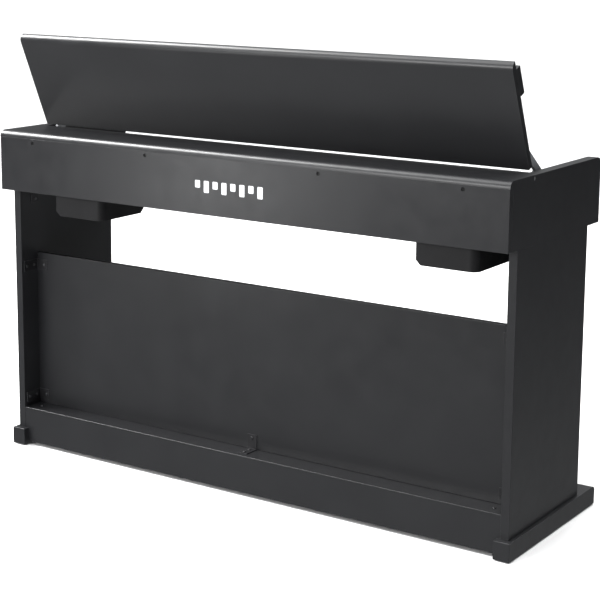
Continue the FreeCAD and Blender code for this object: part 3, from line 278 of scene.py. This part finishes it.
finishes = {
    "black_laminate": laminate(),
    "raw_board": raw_board(),
    "arm_grey": coated("arm_grey", (0.16, 0.165, 0.175), (0.2, 0.205, 0.215), 0.42, metallic=0.2),
    "black_steel": coated("black_steel", (0.012, 0.012, 0.013), (0.022, 0.022, 0.024), 0.38,
                          grain=2200.0, depth=0.03, metallic=0.3),
    "zinc_steel": brushed("zinc_steel", (0.42, 0.42, 0.43), (0.62, 0.62, 0.63), 0.32, (0.03, 1, 1)),
    "panel_plastic": coated("panel_plastic", (0.014, 0.014, 0.0155), (0.019, 0.019, 0.021), 0.55,
                            rub=(0.06, 0.06, 0.063)),
    "box_plastic": coated("box_plastic", (0.005, 0.005, 0.0055), (0.008, 0.008, 0.009), 0.55,
                          rub=(0.12, 0.12, 0.125), specular=0.22),
    "key_frame_plastic": coated("key_frame_plastic", (0.07, 0.07, 0.075), (0.1, 0.1, 0.105), 0.6),
    "felt": felt(),
    "circuit_green": circuit(),
    "driver_black": coated("driver_black", (0.018, 0.018, 0.018), (0.03, 0.03, 0.03), 0.7, grain=800.0,
                           depth=0.15),
    "grille_black": coated("grille_black", (0.012, 0.012, 0.012), (0.02, 0.02, 0.02), 0.45),
    "foot_rubber": rubber(),
    "button_plastic": coated("button_plastic", (0.05, 0.05, 0.054), (0.065, 0.065, 0.07), 0.4),
    "ivory": ivory(),
    "ebony": ebony(),
    "brass": brushed("brass", (0.62, 0.46, 0.19), (0.78, 0.60, 0.28), 0.2, (1, 0.04, 1),
                     rub=(0.95, 0.78, 0.42)),
}
# Rear panel's sunk screw heads: near black, with dark edges and little reflection, darker than the black
# steel. This is painted shade that stands for the dark of the holes they sit in.
sunk_screw_shade_finish = coated("sunk_screw_painted_shade", (0.003, 0.003, 0.003), (0.006, 0.006, 0.006), 0.35,
                     rub=(0.03, 0.03, 0.03), specular=0.3)
ink_finish = ink()
lamp_finish = lamp()

for node in frame["nodes"].values():
    for held in node.material_slots:
        slot_name = held.material.name.split(".")[0]
        if slot_name in finishes:
            held.material = finishes[slot_name]


# ---------------------------------------------------------------- mesh helpers
def piece(name, mesh_builder, body, slot=None, finish=None, sharp=35.0, replaces=()):
    """A new named mesh that rides on a body, smooth except along its sharp edges."""
    mesh = bpy.data.meshes.new(name)
    mesh_builder.normal_update()
    bmesh.ops.recalc_face_normals(mesh_builder, faces=mesh_builder.faces)
    mesh_builder.to_mesh(mesh)
    mesh_builder.free()
    mesh.polygons.foreach_set("use_smooth", [True] * len(mesh.polygons))
    mesh.set_sharp_from_angle(angle=math.radians(sharp))
    made = bpy.data.objects.new(name, mesh)
    bpy.context.scene.collection.objects.link(made)
    made.data.materials.append(finish or finishes[slot])
    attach(made, body)
    if replaces:
        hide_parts(*replaces)
    return made


def slab(bm, outline, low, high, round_top=0.0, round_low=0.0):
    """Flat X-Y outline drawn up from low to high, with rounded top and lower rims."""
    bottom = [bm.verts.new((x, y, low)) for x, y in outline]
    top = [bm.verts.new((x, y, high)) for x, y in outline]
    count = len(outline)
    rims = []
    for ring, radius, flip in ((top, round_top, False), (bottom, round_low, True)):
        face = bm.faces.new(list(reversed(ring)) if flip else ring)
        if radius:
            rims.append((radius, list(face.edges)))
    for i in range(count):
        j = (i + 1) % count
        bm.faces.new((bottom[i], bottom[j], top[j], top[i]))
    for radius, edges in rims:
        bmesh.ops.bevel(bm, geom=edges, offset=radius, segments=3, profile=0.5, affect="EDGES",
                        clamp_overlap=True)


def islands(node):
    """Boxes and points of the separate solids in one CAD node."""
    bm = bmesh.new()
    bm.from_mesh(frame["nodes"][node].data)
    bmesh.ops.remove_doubles(bm, verts=bm.verts, dist=1e-6)
    seen = set()
    found = []
    for start in bm.verts:
        if start in seen:
            continue
        seen.add(start)
        stack = [start]
        points = []
        while stack:
            vertex = stack.pop()
            points.append(vertex.co.copy())
            for edge in vertex.link_edges:
                other = edge.other_vert(vertex)
                if other not in seen:
                    seen.add(other)
                    stack.append(other)
        low = Vector([min(p[i] for p in points) for i in range(3)])
        high = Vector([max(p[i] for p in points) for i in range(3)])
        found.append((low, high, points))
    bm.free()
    return found


def basis(axis):
    """Two directions square to an axis."""
    helper = Vector((0, 0, 1)) if abs(axis.z) < 0.9 else Vector((1, 0, 0))
    across = axis.cross(helper).normalized()
    return across, axis.cross(across)


# ---------------------------------------------------------------- screws
HEAD_SQUARES = 22          # squares across a screw head's mesh
HEAD_SKIRT = 0.8 * MM      # wall below a head's rim, sunk in what the screw holds
FLAT_HEAD = (24, 0.05, 1.05)    # sharpness of the rim, fall of the crown, depth of the cross
PAN_HEAD = (6, 0.25, 0.75)
# The cross recess, in shares of the head's radius
CROSS_HALF = 0.15          # half of an arm's width
CROSS_WALL = 0.05          # width of the slope at its sides
CROSS_REACH = 0.58         # middle to an arm's end
CROSS_END = 0.12           # length of the slope at its end
LONG_SCREW = 9.0 * MM      # a screw longer than this is longer than its head is wide
SAME_WIDTH = 0.3 * MM      # sizes closer than this both measure the head's width
RIM_SHARE = 0.42           # points farther out than this share of the width lie on the head's rim
SUNK_SHARE = 0.35          # height of the rear panel's sunk heads, as a share of the CAD's


def clamp(value):
    return max(0.0, min(1.0, value))


def screw_head(bm, centre, axis, radius, height, shape, turn):
    """Screw head with a cross recess: a square grid drawn round, raised by the head's profile."""
    across, upward = basis(axis)
    sharpness, fall, depth = shape
    rows = []
    for i in range(HEAD_SQUARES + 1):
        row = []
        for j in range(HEAD_SQUARES + 1):
            u, v = 2.0 * i / HEAD_SQUARES - 1.0, 2.0 * j / HEAD_SQUARES - 1.0
            x, y = u * math.sqrt(1 - v * v / 2), v * math.sqrt(1 - u * u / 2)
            r = min(1.0, math.hypot(x, y))
            rise = (1 - r ** sharpness) ** 0.5 * (1 - fall * r * r)
            inside_arm = clamp((CROSS_HALF - min(abs(x), abs(y))) / CROSS_WALL)
            inside_end = clamp((CROSS_REACH - max(abs(x), abs(y))) / CROSS_END)
            rise -= depth * inside_arm * inside_end
            a = x * math.cos(turn) - y * math.sin(turn)
            b = x * math.sin(turn) + y * math.cos(turn)
            row.append(bm.verts.new(centre + (across * a + upward * b) * radius + axis * rise * height))
        rows.append(row)
    last = HEAD_SQUARES
    for i in range(last):
        for j in range(last):
            bm.faces.new((rows[i][j], rows[i + 1][j], rows[i + 1][j + 1], rows[i][j + 1]))
    rim = [rows[i][0] for i in range(last)] + [rows[last][j] for j in range(last)]
    rim += [rows[i][last] for i in range(last, 0, -1)] + [rows[0][j] for j in range(last, 0, -1)]
    lower = [bm.verts.new(v.co - axis * HEAD_SKIRT) for v in rim]
    for i in range(len(rim)):
        j = (i + 1) % len(rim)
        bm.faces.new((rim[j], rim[i], lower[i], lower[j]))
    bm.faces.new(lower)


def head_of(low, high, points):
    """Axis, base centre, radius and height of the head of a screw that lies along one axis."""
    size = high - low
    wide = sorted(size)[1] if max(size) > LONG_SCREW else max(size)
    along = min(range(3), key=lambda i: abs(size[i] - wide) < SAME_WIDTH)
    middle = (low + high) / 2
    others = [i for i in range(3) if i != along]
    far = [p[along] for p in points
           if math.hypot(*(p[i] - middle[i] for i in others)) > RIM_SHARE * wide]
    sign = 1.0 if sum(far) / len(far) > middle[along] else -1.0
    base = min(far) if sign > 0 else max(far)
    tip = high[along] if sign > 0 else low[along]
    axis = Vector([sign if i == along else 0.0 for i in range(3)])
    centre = middle.copy()
    centre[along] = base
    return axis, centre, wide / 2, abs(tip - base)


def screws(name, node, slot, shape, only=lambda axis: True, share=1.0, finish=None):
    """Heads of the screws in a CAD node, all of them or those along some axes."""
    bm = bmesh.new()
    for low, high, points in islands(node):
        axis, centre, radius, height = head_of(low, high, points)
        if only(axis):
            screw_head(bm, centre, axis, radius, height * share, shape, random.uniform(0, math.pi / 2))
    piece(name, bm, "cabinet", slot, finish, sharp=50.0, replaces=[node])


screws("bracket_screw_heads", "bracket_screws", "black_steel", PAN_HEAD)
# The rear panel's heads sit low in their holes and use the near-black painted-shade finish.
screws("rear_panel_screw_heads", "case_screws", "black_steel", FLAT_HEAD,
       only=lambda axis: axis.y > 0.5, share=SUNK_SHARE, finish=sunk_screw_shade_finish)
screws("cheek_screw_heads", "case_screws", "zinc_steel", FLAT_HEAD, only=lambda axis: abs(axis.x) > 0.5)


# ---------------------------------------------------------------- keyboard
WHITE_NODES = ("white_keys_low", "key_c", "key_d", "key_e", "key_f", "key_g", "key_a", "key_b",
               "white_keys_high")
BLACK_NODES = ("black_keys_low", "key_c_sharp", "key_d_sharp", "key_f_sharp", "key_g_sharp",
               "key_a_sharp", "black_keys_high")
KEY_CLEAR = 1.2 * MM       # white key to black key
HEAD_LENGTH = 51.0 * MM    # full-width front part of a white key
BESIDE = 0.2 * MM          # least overlap in X of a white key and a black key beside it
CAP_HEIGHT = 3.2 * MM      # white cap over the key's body
CAP_LIP = 1.2 * MM         # overhang of the cap at the front
CAP_ROUND = 1.1 * MM
CAP_LOWER_ROUND = 0.5 * MM
KEY_OVERLAP = 0.2 * MM     # how far a key's lower body reaches into its upper part
BLACK_HEAD = 13.2 * MM     # height of a black key's tapered head
BLACK_REAR = 52.0 * MM     # rear part of a black key behind its head
BLACK_SETBACK = 1.5 * MM   # head's front edge to the lower body
BLACK_TAPER = 0.55 * MM    # on each side
BLACK_NOSE = 7.5 * MM      # length of the sloping front
BLACK_ROUND = 1.8 * MM
blacks = {name: [(low, high) for low, high, points in islands(name)] for name in BLACK_NODES}
all_blacks = [box for boxes in blacks.values() for box in boxes]


def body_of(node):
    """Name of the body that a CAD node rides on."""
    for body, members in frame["record"]["behaviour"]["bodies"].items():
        if node in members:
            return body
    return "cabinet"


def key_outline(low, high, front):
    """Outline of a white key: full width at the head, cut back beside its black keys."""
    step = low.y + HEAD_LENGTH
    left, right = low.x, high.x
    for black_low, black_high in all_blacks:
        if black_high.x > low.x + BESIDE and black_low.x < low.x:
            left = black_high.x + KEY_CLEAR
        if black_low.x < high.x - BESIDE and black_high.x > high.x:
            right = black_low.x - KEY_CLEAR
    points = [(low.x, front), (high.x, front)]
    if right < high.x:
        points += [(high.x, step), (right, step)]
    points += [(right, high.y), (left, high.y)]
    if left > low.x:
        points += [(left, step), (low.x, step)]
    return points


def white_keys(name):
    """White keys of one node, each a rounded cap over a straight body."""
    bm = bmesh.new()
    for low, high, _ in islands(name):
        cap = key_outline(low, high, low.y)
        slab(bm, cap, high.z - CAP_HEIGHT, high.z, CAP_ROUND, CAP_LOWER_ROUND)
        stem = key_outline(low, high, low.y + CAP_LIP)
        slab(bm, stem, low.z, high.z - CAP_HEIGHT + KEY_OVERLAP)
    piece(name + "_capped", bm, body_of(name), "ivory", replaces=[name])


def black_key(bm, low, high):
    """Tapered, crowned black key with a sloping nose, on a straight lower body."""
    base = high.z - BLACK_HEAD
    back = high.y - BLACK_REAR
    front = low.y + BLACK_SETBACK
    lower = [(low.x, front), (high.x, front), (high.x, high.y), (low.x, high.y)]
    slab(bm, lower, low.z, base + KEY_OVERLAP)
    nose = low.y + BLACK_NOSE
    corners = [
        (low.x, low.y, base), (high.x, low.y, base), (high.x, back, base), (low.x, back, base),
        (low.x + BLACK_TAPER, nose, high.z), (high.x - BLACK_TAPER, nose, high.z),
        (high.x - BLACK_TAPER, back, high.z), (low.x + BLACK_TAPER, back, high.z)]
    v = [bm.verts.new(c) for c in corners]
    top = bm.faces.new((v[4], v[5], v[6], v[7]))
    bm.faces.new((v[3], v[2], v[1], v[0]))
    for i, j in ((0, 1), (1, 2), (2, 3), (3, 0)):
        bm.faces.new((v[i], v[j], v[j + 4], v[i + 4]))
    rim = list(top.edges) + [e for e in bm.edges if set(e.verts) in ({v[0], v[4]}, {v[1], v[5]})]
    bmesh.ops.bevel(bm, geom=rim, offset=BLACK_ROUND, segments=4, profile=0.5, affect="EDGES",
                    clamp_overlap=True)


for name in WHITE_NODES:
    white_keys(name)
for name in BLACK_NODES:
    bm = bmesh.new()
    for low, high in blacks[name]:
        black_key(bm, low, high)
    piece(name + "_shaped", bm, body_of(name), "ebony", replaces=[name])


# ---------------------------------------------------------------- felt strips
FELT_PITCH = 4.0 * MM      # between the strips' cross-sections
FELT_RUFFLE = 0.15 * MM
FELT_WAVES = 150.0         # noise cells per metre
FELT_CORNER_STEP = 7.3     # keeps the four corners' noise apart


def felt_strip(bm, low, high):
    """Long felt bar with a matted, slightly uneven surface."""
    count = max(2, int((high.x - low.x) / FELT_PITCH))
    corners = [(low.y, low.z), (high.y, low.z), (high.y, high.z), (low.y, high.z)]
    rings = []
    for i in range(count + 1):
        x = low.x + (high.x - low.x) * i / count
        ring = []
        for k, (y, z) in enumerate(corners):
            lift = noise.noise(Vector((x * FELT_WAVES, k * FELT_CORNER_STEP, 0.5))) * FELT_RUFFLE
            inward = Vector((0, (low.y + high.y) / 2 - y, (low.z + high.z) / 2 - z)).normalized()
            ring.append(bm.verts.new(Vector((x, y, z)) + inward * (FELT_RUFFLE + lift)))
        rings.append(ring)
    for a, b in zip(rings, rings[1:]):
        for k in range(4):
            bm.faces.new((a[k], a[(k + 1) % 4], b[(k + 1) % 4], b[k]))
    bm.faces.new(list(reversed(rings[0])))
    bm.faces.new(rings[-1])


bm = bmesh.new()
for low, high, _ in islands("key_felts"):
    felt_strip(bm, low, high)
piece("key_felt_strips", bm, "cabinet", "felt", sharp=60.0, replaces=["key_felts"])


# ---------------------------------------------------------------- pedals
PAD_TIP = (                # share of the tip's length, then of the pad's width and thickness
    (0.0, 0.12, 0.35), (0.03, 0.38, 0.6), (0.1, 0.64, 0.8), (0.22, 0.84, 0.93), (0.4, 0.96, 0.99),
    (0.62, 1.0, 1.0))
TIP_LENGTH = 2.2           # times half the pad's width
PAD_HALF_HEIGHT = 3.5 * MM
STEM_HALF_WIDTH = 8.0 * MM
NECK_GAP = 14.0 * MM       # housing's front to where the stem begins
SHOULDER = 24.0 * MM       # length over which the pad narrows to the stem
SHOULDER_STEPS = 6
STEM_END = 6.0 * MM        # last section before the axle
BOSS_RADIUS = 7.5 * MM
BOSS_CHAMFER = 0.6 * MM
BOSS_STEPS = 28


def ring_of(y, half_width, half_height, middle_x, middle_z, steps=20, power=3.0):
    """Rounded-rectangle section of a pedal, square to Y."""
    points = []
    for i in range(steps):
        angle = 2 * math.pi * i / steps
        c, s = math.cos(angle), math.sin(angle)
        x = math.copysign(abs(c) ** (2 / power), c) * half_width
        z = math.copysign(abs(s) ** (2 / power), s) * half_height
        points.append(Vector((middle_x + x, y, middle_z + z)))
    return points


def skin(bm, sections):
    """Closed skin through rings of points, with both ends capped."""
    rings = [[bm.verts.new(p) for p in ring] for ring in sections]
    for a, b in zip(rings, rings[1:]):
        for k in range(len(a)):
            bm.faces.new((a[k], a[(k + 1) % len(a)], b[(k + 1) % len(a)], b[k]))
    bm.faces.new(list(reversed(rings[0])))
    bm.faces.new(rings[-1])


def pedal(name):
    """Cast pedal: a crowned pad that narrows to a stem, with a boss round its axle."""
    low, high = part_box(name)
    axle_low, axle_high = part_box("pedal_axle")
    x = (low.x + high.x) / 2
    z = (axle_low.z + axle_high.z) / 2
    axle_y = (axle_low.y + axle_high.y) / 2
    wide = (high.x - low.x) / 2
    stem = STEM_HALF_WIDTH
    sections = []
    for share, width, height in PAD_TIP:
        y = low.y + share * TIP_LENGTH * wide
        sections.append(ring_of(y, wide * width, PAD_HALF_HEIGHT * height, x, z))
    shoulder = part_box("pedal_housing")[0].y - NECK_GAP - SHOULDER
    for i in range(SHOULDER_STEPS + 1):
        t = i / SHOULDER_STEPS
        ease = t * t * (3 - 2 * t)
        sections.append(ring_of(shoulder + SHOULDER * t, wide + (stem - wide) * ease, PAD_HALF_HEIGHT, x, z))
    for y in (axle_y - STEM_END, axle_y):
        sections.append(ring_of(y, stem, PAD_HALF_HEIGHT, x, z))
    bm = bmesh.new()
    skin(bm, sections)
    rings = []
    for offset, radius in ((-stem, BOSS_RADIUS - BOSS_CHAMFER), (-stem + BOSS_CHAMFER, BOSS_RADIUS),
                           (stem - BOSS_CHAMFER, BOSS_RADIUS), (stem, BOSS_RADIUS - BOSS_CHAMFER)):
        rings.append([Vector((x + offset, axle_y + radius * math.cos(a), z + radius * math.sin(a)))
                      for a in (2 * math.pi * k / BOSS_STEPS for k in range(BOSS_STEPS))])
    skin(bm, rings)
    piece(name + "_cast", bm, name, "brass", sharp=40.0, replaces=[name])


for name in ("soft_pedal", "sostenuto_pedal", "damper_pedal"):
    pedal(name)


# ---------------------------------------------------------------- controls
PRINT_THICK = 0.08 * MM
PRINT_SUNK = 0.05 * MM
BUTTON_RING = 7.6 * MM         # radius of the printed ring round a button
BUTTON_RING_WIDTH = 0.5 * MM
BUTTON_RING_STEPS = 40
KNOB_MARK_REACH = 13.0 * MM    # knob's middle to the middle of its printed ticks
KNOB_MARKS = 11
KNOB_SWEEP = 280.0             # degrees from the first tick to the last
TICK_WIDTH = 0.7 * MM
LONG_TICK = 3.4 * MM           # first, middle and last tick
SHORT_TICK = 2.2 * MM
POINTER_REACH = 4.6 * MM       # knob's middle to the middle of its pointer
POINTER_SIZE = (1.1 * MM, 6.5 * MM)
POINTER_THICK = 0.12 * MM
POINTER_SUNK = 0.1 * MM
SYMBOL_RADIUS = 1.9 * MM
SYMBOL_LINE = 0.45 * MM
SYMBOL_OPENING = 70            # degrees left open at the ring's top
SYMBOL_THICK = 0.1 * MM
SYMBOL_STEPS = 24
SYMBOL_STROKE = (1.7 * MM, 2.2 * MM)    # reach and length of the upright stroke
LAMP_OFFSET = 16.0 * MM        # power button to its lamp
LENS_RADIUS = 1.5 * MM
LENS_RIM = 0.2 * MM            # above the panel
LENS_DOME = 0.9 * MM
LENS_STEP = 12                 # degrees between the dome's rings
LAMP_SUNK = 0.3 * MM
BEZEL = (                      # radius and height of its outline above the panel
    (2.6 * MM, 0.15 * MM), (2.3 * MM, 0.4 * MM), (1.8 * MM, 0.4 * MM), (1.6 * MM, 0.2 * MM))


def panel_plane():
    """Outward direction of the sloping control panel's face, and how far out that face lies."""
    mesh = frame["nodes"]["control_panel"].data
    face = max((f for f in mesh.polygons if f.normal.z > 0.5), key=lambda f: f.area)
    return face.normal.copy(), face.center.dot(face.normal)


OUTWARD, PANEL_REACH = panel_plane()
ACROSS = Vector((1, 0, 0))
UPWARD = OUTWARD.cross(ACROSS)


def top_of(node):
    """Middle of a control's outer face."""
    low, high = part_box(node)
    middle = (low + high) / 2
    reach = max(v.co.dot(OUTWARD) for v in frame["nodes"][node].data.vertices)
    return middle + OUTWARD * (reach - middle.dot(OUTWARD))


def on_panel(point):
    """The point of the panel's face below a point above it."""
    return point + OUTWARD * (PANEL_REACH - point.dot(OUTWARD))


def stroke(bm, centre, width, length, turn=0.0, thick=PRINT_THICK, sunk=0.0):
    """Thin bar lying on the panel or a control, turned about the outward direction."""
    a = ACROSS * math.cos(turn) + UPWARD * math.sin(turn)
    b = UPWARD * math.cos(turn) - ACROSS * math.sin(turn)
    corners = [centre + a * x * width / 2 + b * y * length / 2
               for x, y in ((-1, -1), (1, -1), (1, 1), (-1, 1))]
    skin(bm, [[c - OUTWARD * sunk for c in corners], [c + OUTWARD * thick for c in corners]])


def arc(bm, centre, radius, width, start, stop, steps, thick=PRINT_THICK):
    """Thin ring or part of one lying on the panel or a control, between two angles in degrees."""
    sections = []
    for i in range(steps + 1):
        t = math.radians(start + (stop - start) * i / steps)
        out = ACROSS * math.cos(t) + UPWARD * math.sin(t)
        near = centre + out * (radius - width / 2)
        far = centre + out * (radius + width / 2)
        sections.append([near, far, far + OUTWARD * thick, near + OUTWARD * thick])
    skin(bm, sections)


def turned(bm, centre, profile, steps=32):
    """Solid of revolution about the outward direction, from (radius, height) points."""
    sections = []
    for radius, height in profile:
        sections.append([centre + OUTWARD * height
                         + (ACROSS * math.cos(t) + UPWARD * math.sin(t)) * radius
                         for t in (2 * math.pi * k / steps for k in range(steps))])
    skin(bm, sections)


def volume_marks(printed):
    """Pointer line on the volume knob, and the ring of ticks round it."""
    top = top_of("volume_knob")
    pointer = bmesh.new()
    stroke(pointer, top + UPWARD * POINTER_REACH, *POINTER_SIZE, thick=POINTER_THICK, sunk=POINTER_SUNK)
    piece("volume_pointer", pointer, "volume_knob", finish=ink_finish)
    sheet = on_panel(top)
    for i in range(KNOB_MARKS):
        angle = math.radians(KNOB_SWEEP * (i / (KNOB_MARKS - 1) - 0.5))
        out = UPWARD * math.cos(angle) + ACROSS * math.sin(angle)
        length = LONG_TICK if i % (KNOB_MARKS // 2) == 0 else SHORT_TICK
        stroke(printed, sheet + out * KNOB_MARK_REACH, TICK_WIDTH, length, -angle, sunk=PRINT_SUNK)


def power_marks():
    """Power symbol on its button, and a small domed lamp in a bezel beside it."""
    top = top_of("power_button")
    symbol = bmesh.new()
    start = 90 + SYMBOL_OPENING / 2
    stop = start + 360 - SYMBOL_OPENING
    arc(symbol, top, SYMBOL_RADIUS, SYMBOL_LINE, start, stop, SYMBOL_STEPS, SYMBOL_THICK)
    reach, length = SYMBOL_STROKE
    stroke(symbol, top + UPWARD * reach, SYMBOL_LINE, length, thick=SYMBOL_THICK)
    piece("power_symbol", symbol, "power_button", finish=ink_finish)
    place = on_panel(top) - ACROSS * LAMP_OFFSET
    dome = [(LENS_RADIUS * math.cos(a), LENS_RIM + LENS_DOME * math.sin(a))
            for a in (math.radians(degrees) for degrees in range(0, 90, LENS_STEP))]
    lens = bmesh.new()
    turned(lens, place, [(LENS_RADIUS, -LAMP_SUNK)] + dome)
    piece("power_lamp", lens, "cabinet", finish=lamp_finish)
    bezel = bmesh.new()
    turned(bezel, place, [(BEZEL[0][0], -LAMP_SUNK), *BEZEL])
    piece("power_lamp_bezel", bezel, "cabinet", "button_plastic")


def controls():
    """Printed marks of the control panel, the knob's pointer and the power button's symbol and lamp."""
    printed = bmesh.new()
    volume_marks(printed)
    for node in ("power_button", "voice_button"):
        arc(printed, on_panel(top_of(node)), BUTTON_RING, BUTTON_RING_WIDTH, 0, 360,
            BUTTON_RING_STEPS)
    piece("panel_print", printed, "cabinet", finish=ink_finish)
    power_marks()


controls()


# ---------------------------------------------------------------- rear emblem
EMBLEM_BARS = 8
EMBLEM_TOP = 78.0 * MM         # bars' top above the rear panel's lower edge
BAR_PITCH = 24.5 * MM
BAR_HALF_WIDTH = 7.0 * MM
BAR_LENGTHS = (27.0 * MM, 17.0 * MM)
BAR_ROUND = 2.2 * MM
BAR_SUNK = 0.1 * MM
BAR_PROUD = 0.12 * MM
CORNER_STEPS = 5


def bar(bm, x0, x1, z0, z1, y0, y1, radius):
    """Upright rounded bar, thin in Y."""
    points = []
    for cx, cz, start in ((x1 - radius, z1 - radius, 0), (x0 + radius, z1 - radius, 90),
                          (x0 + radius, z0 + radius, 180), (x1 - radius, z0 + radius, 270)):
        for k in range(CORNER_STEPS + 1):
            a = math.radians(start + 90 * k / CORNER_STEPS)
            points.append((cx + radius * math.cos(a), cz + radius * math.sin(a)))
    near = [bm.verts.new((x, y0, z)) for x, z in points]
    far = [bm.verts.new((x, y1, z)) for x, z in points]
    bm.faces.new(near)
    bm.faces.new(list(reversed(far)))
    for i in range(len(points)):
        j = (i + 1) % len(points)
        bm.faces.new((near[i], near[j], far[j], far[i]))


def emblem():
    """Plain row of rounded bars, thin as ink, in the middle of the rear panel."""
    low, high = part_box("rear_panel")
    bm = bmesh.new()
    top = low.z + EMBLEM_TOP
    for i in range(EMBLEM_BARS):
        x = (i - (EMBLEM_BARS - 1) / 2) * BAR_PITCH
        bar(bm, x - BAR_HALF_WIDTH, x + BAR_HALF_WIDTH, top - BAR_LENGTHS[i % 2], top,
            high.y - BAR_SUNK, high.y + BAR_PROUD, BAR_ROUND)
    piece("rear_emblem", bm, "cabinet", finish=ink_finish)


emblem()


# ---------------------------------------------------------------- camera
SENSOR_WIDTH = 36.0
FOCAL_PIXELS = 1609.0
IMAGE_SIDE = 600.0
SHIFT_Y = -0.14
YAW, PITCH, ROLL = math.radians(33.661), math.radians(10.113), math.radians(0.422)
CAMERA_PLACE = (-2.0847, 3.0748, 1.2943)


def add_camera():
    """Camera behind the piano at its bass end, a little above the case."""
    ahead = Vector((math.sin(YAW) * math.cos(PITCH), -math.cos(YAW) * math.cos(PITCH), -math.sin(PITCH)))
    side = ahead.cross(Vector((0, 0, 1))).normalized()
    above = side.cross(ahead)
    right = side * math.cos(ROLL) + above * math.sin(ROLL)
    upward = above * math.cos(ROLL) - side * math.sin(ROLL)
    data = bpy.data.cameras.new("camera")
    data.sensor_width = SENSOR_WIDTH
    data.lens = FOCAL_PIXELS * SENSOR_WIDTH / IMAGE_SIDE
    data.shift_y = SHIFT_Y
    camera = bpy.data.objects.new("camera", data)
    turn = Matrix((right, upward, -ahead)).transposed()
    camera.matrix_world = Matrix.Translation(CAMERA_PLACE) @ turn.to_4x4()
    bpy.context.scene.collection.objects.link(camera)
    bpy.context.scene.camera = camera


# ---------------------------------------------------------------- studio
# Area lights: name, place, target, watts, width and height
SOFTBOXES = (
    ("key_softbox", (1.5, 5.2, 2.2), (0.0, 0.2, 0.6), 170.0, (3.0, 2.0)),
    ("high_softbox", (3.4, 1.0, 3.6), (0.0, 0.2, 0.8), 400.0, (1.6, 2.2)),
    ("rear_strip", (1.3, 1.99, 0.44), (0.0, 0.23, 0.72), 4.4, (0.45, 0.36)),
    ("front_softbox", (-0.8, -2.9, 3.6), (0.0, 0.0, 0.6), 110.0, (2.6, 1.6)),
)
SUN_PLACE = (0.5, 0.6, 5.0)
SUN_STRENGTH = 3.0
SUN_ANGLE = math.radians(70.0)
# Sky brightness by direction, added up: axis, from, to, brightness at from, brightness at to
SKY = (
    ("X", -0.4, 0.5, 0.02, 0.18), ("X", 0.5, 0.78, 0.0, -0.16), ("Z", -0.5, -0.12, 0.40, 0.0),
    ("Z", 0.15, 0.9, 0.0, 0.6))
SKY_TINT = (0.97, 0.985, 1.0, 1.0)
FLOOR_REACH = 30.0


def add_light(name, kind, place, target, energy):
    """Light that the camera doesn't see, aimed at a target. Returns its data."""
    data = bpy.data.lights.new(name, kind)
    data.energy = energy
    light = bpy.data.objects.new(name, data)
    aim = Vector(target) - Vector(place)
    light.matrix_world = Matrix.Translation(place) @ aim.to_track_quat("-Z", "Y").to_matrix().to_4x4()
    light.visible_camera = False
    bpy.context.scene.collection.objects.link(light)
    return data


def add_lights():
    sun = add_light("overhead", "SUN", SUN_PLACE, (0.0, 0.0, 0.0), SUN_STRENGTH)
    sun.angle = SUN_ANGLE
    for name, place, target, watts, size in SOFTBOXES:
        softbox = add_light(name, "AREA", place, target, watts)
        softbox.shape = "RECTANGLE"
        softbox.size, softbox.size_y = size


def add_floor():
    """Large pale floor with a faint unevenness."""
    bm = bmesh.new()
    bmesh.ops.create_grid(bm, x_segments=8, y_segments=8, size=FLOOR_REACH)
    mesh = bpy.data.meshes.new("floor")
    bm.to_mesh(mesh)
    bm.free()
    floor = bpy.data.objects.new("floor", mesh)
    floor.visible_glossy = False
    bpy.context.scene.collection.objects.link(floor)
    n = Nodes("pale_floor", 0.8)
    tone = n.noise(1.5, detail=4.0)
    mesh.materials.append(n.paint(n.blend(tone, (0.90, 0.90, 0.90), (0.93, 0.93, 0.93))))


def add_sky():
    """Soft white surroundings, plain white behind the piano and shaded by direction for its light."""
    world = bpy.data.worlds.new("studio")
    world.use_nodes = True
    bpy.context.scene.world = world
    tree = world.node_tree
    background = tree.nodes["Background"]
    place = tree.nodes.new("ShaderNodeTexCoord")
    split = tree.nodes.new("ShaderNodeSeparateXYZ")
    tree.links.new(place.outputs["Generated"], split.inputs[0])
    total = None
    for axis, start, stop, low, high in SKY:
        spread = tree.nodes.new("ShaderNodeMapRange")
        spread.interpolation_type = "SMOOTHSTEP"
        tree.links.new(split.outputs[axis], spread.inputs["Value"])
        for name, value in (("From Min", start), ("From Max", stop), ("To Min", low), ("To Max", high)):
            socket(spread, name, value)
        if total is None:
            total = spread.outputs["Result"]
        else:
            add = tree.nodes.new("ShaderNodeMath")
            add.operation = "ADD"
            tree.links.new(total, add.inputs[0])
            tree.links.new(spread.outputs["Result"], add.inputs[1])
            total = add.outputs["Value"]
    tree.links.new(total, background.inputs["Strength"])
    socket(background, "Color", SKY_TINT)
    backdrop = tree.nodes.new("ShaderNodeBackground")
    rays = tree.nodes.new("ShaderNodeLightPath")
    either = tree.nodes.new("ShaderNodeMixShader")
    tree.links.new(rays.outputs["Is Camera Ray"], either.inputs["Fac"])
    tree.links.new(background.outputs["Background"], either.inputs[1])
    tree.links.new(backdrop.outputs["Background"], either.inputs[2])
    tree.links.new(either.outputs["Shader"], tree.nodes["World Output"].inputs["Surface"])


add_camera()
add_floor()
add_sky()
add_lights()
bpy.context.scene.view_settings.view_transform = "Standard"
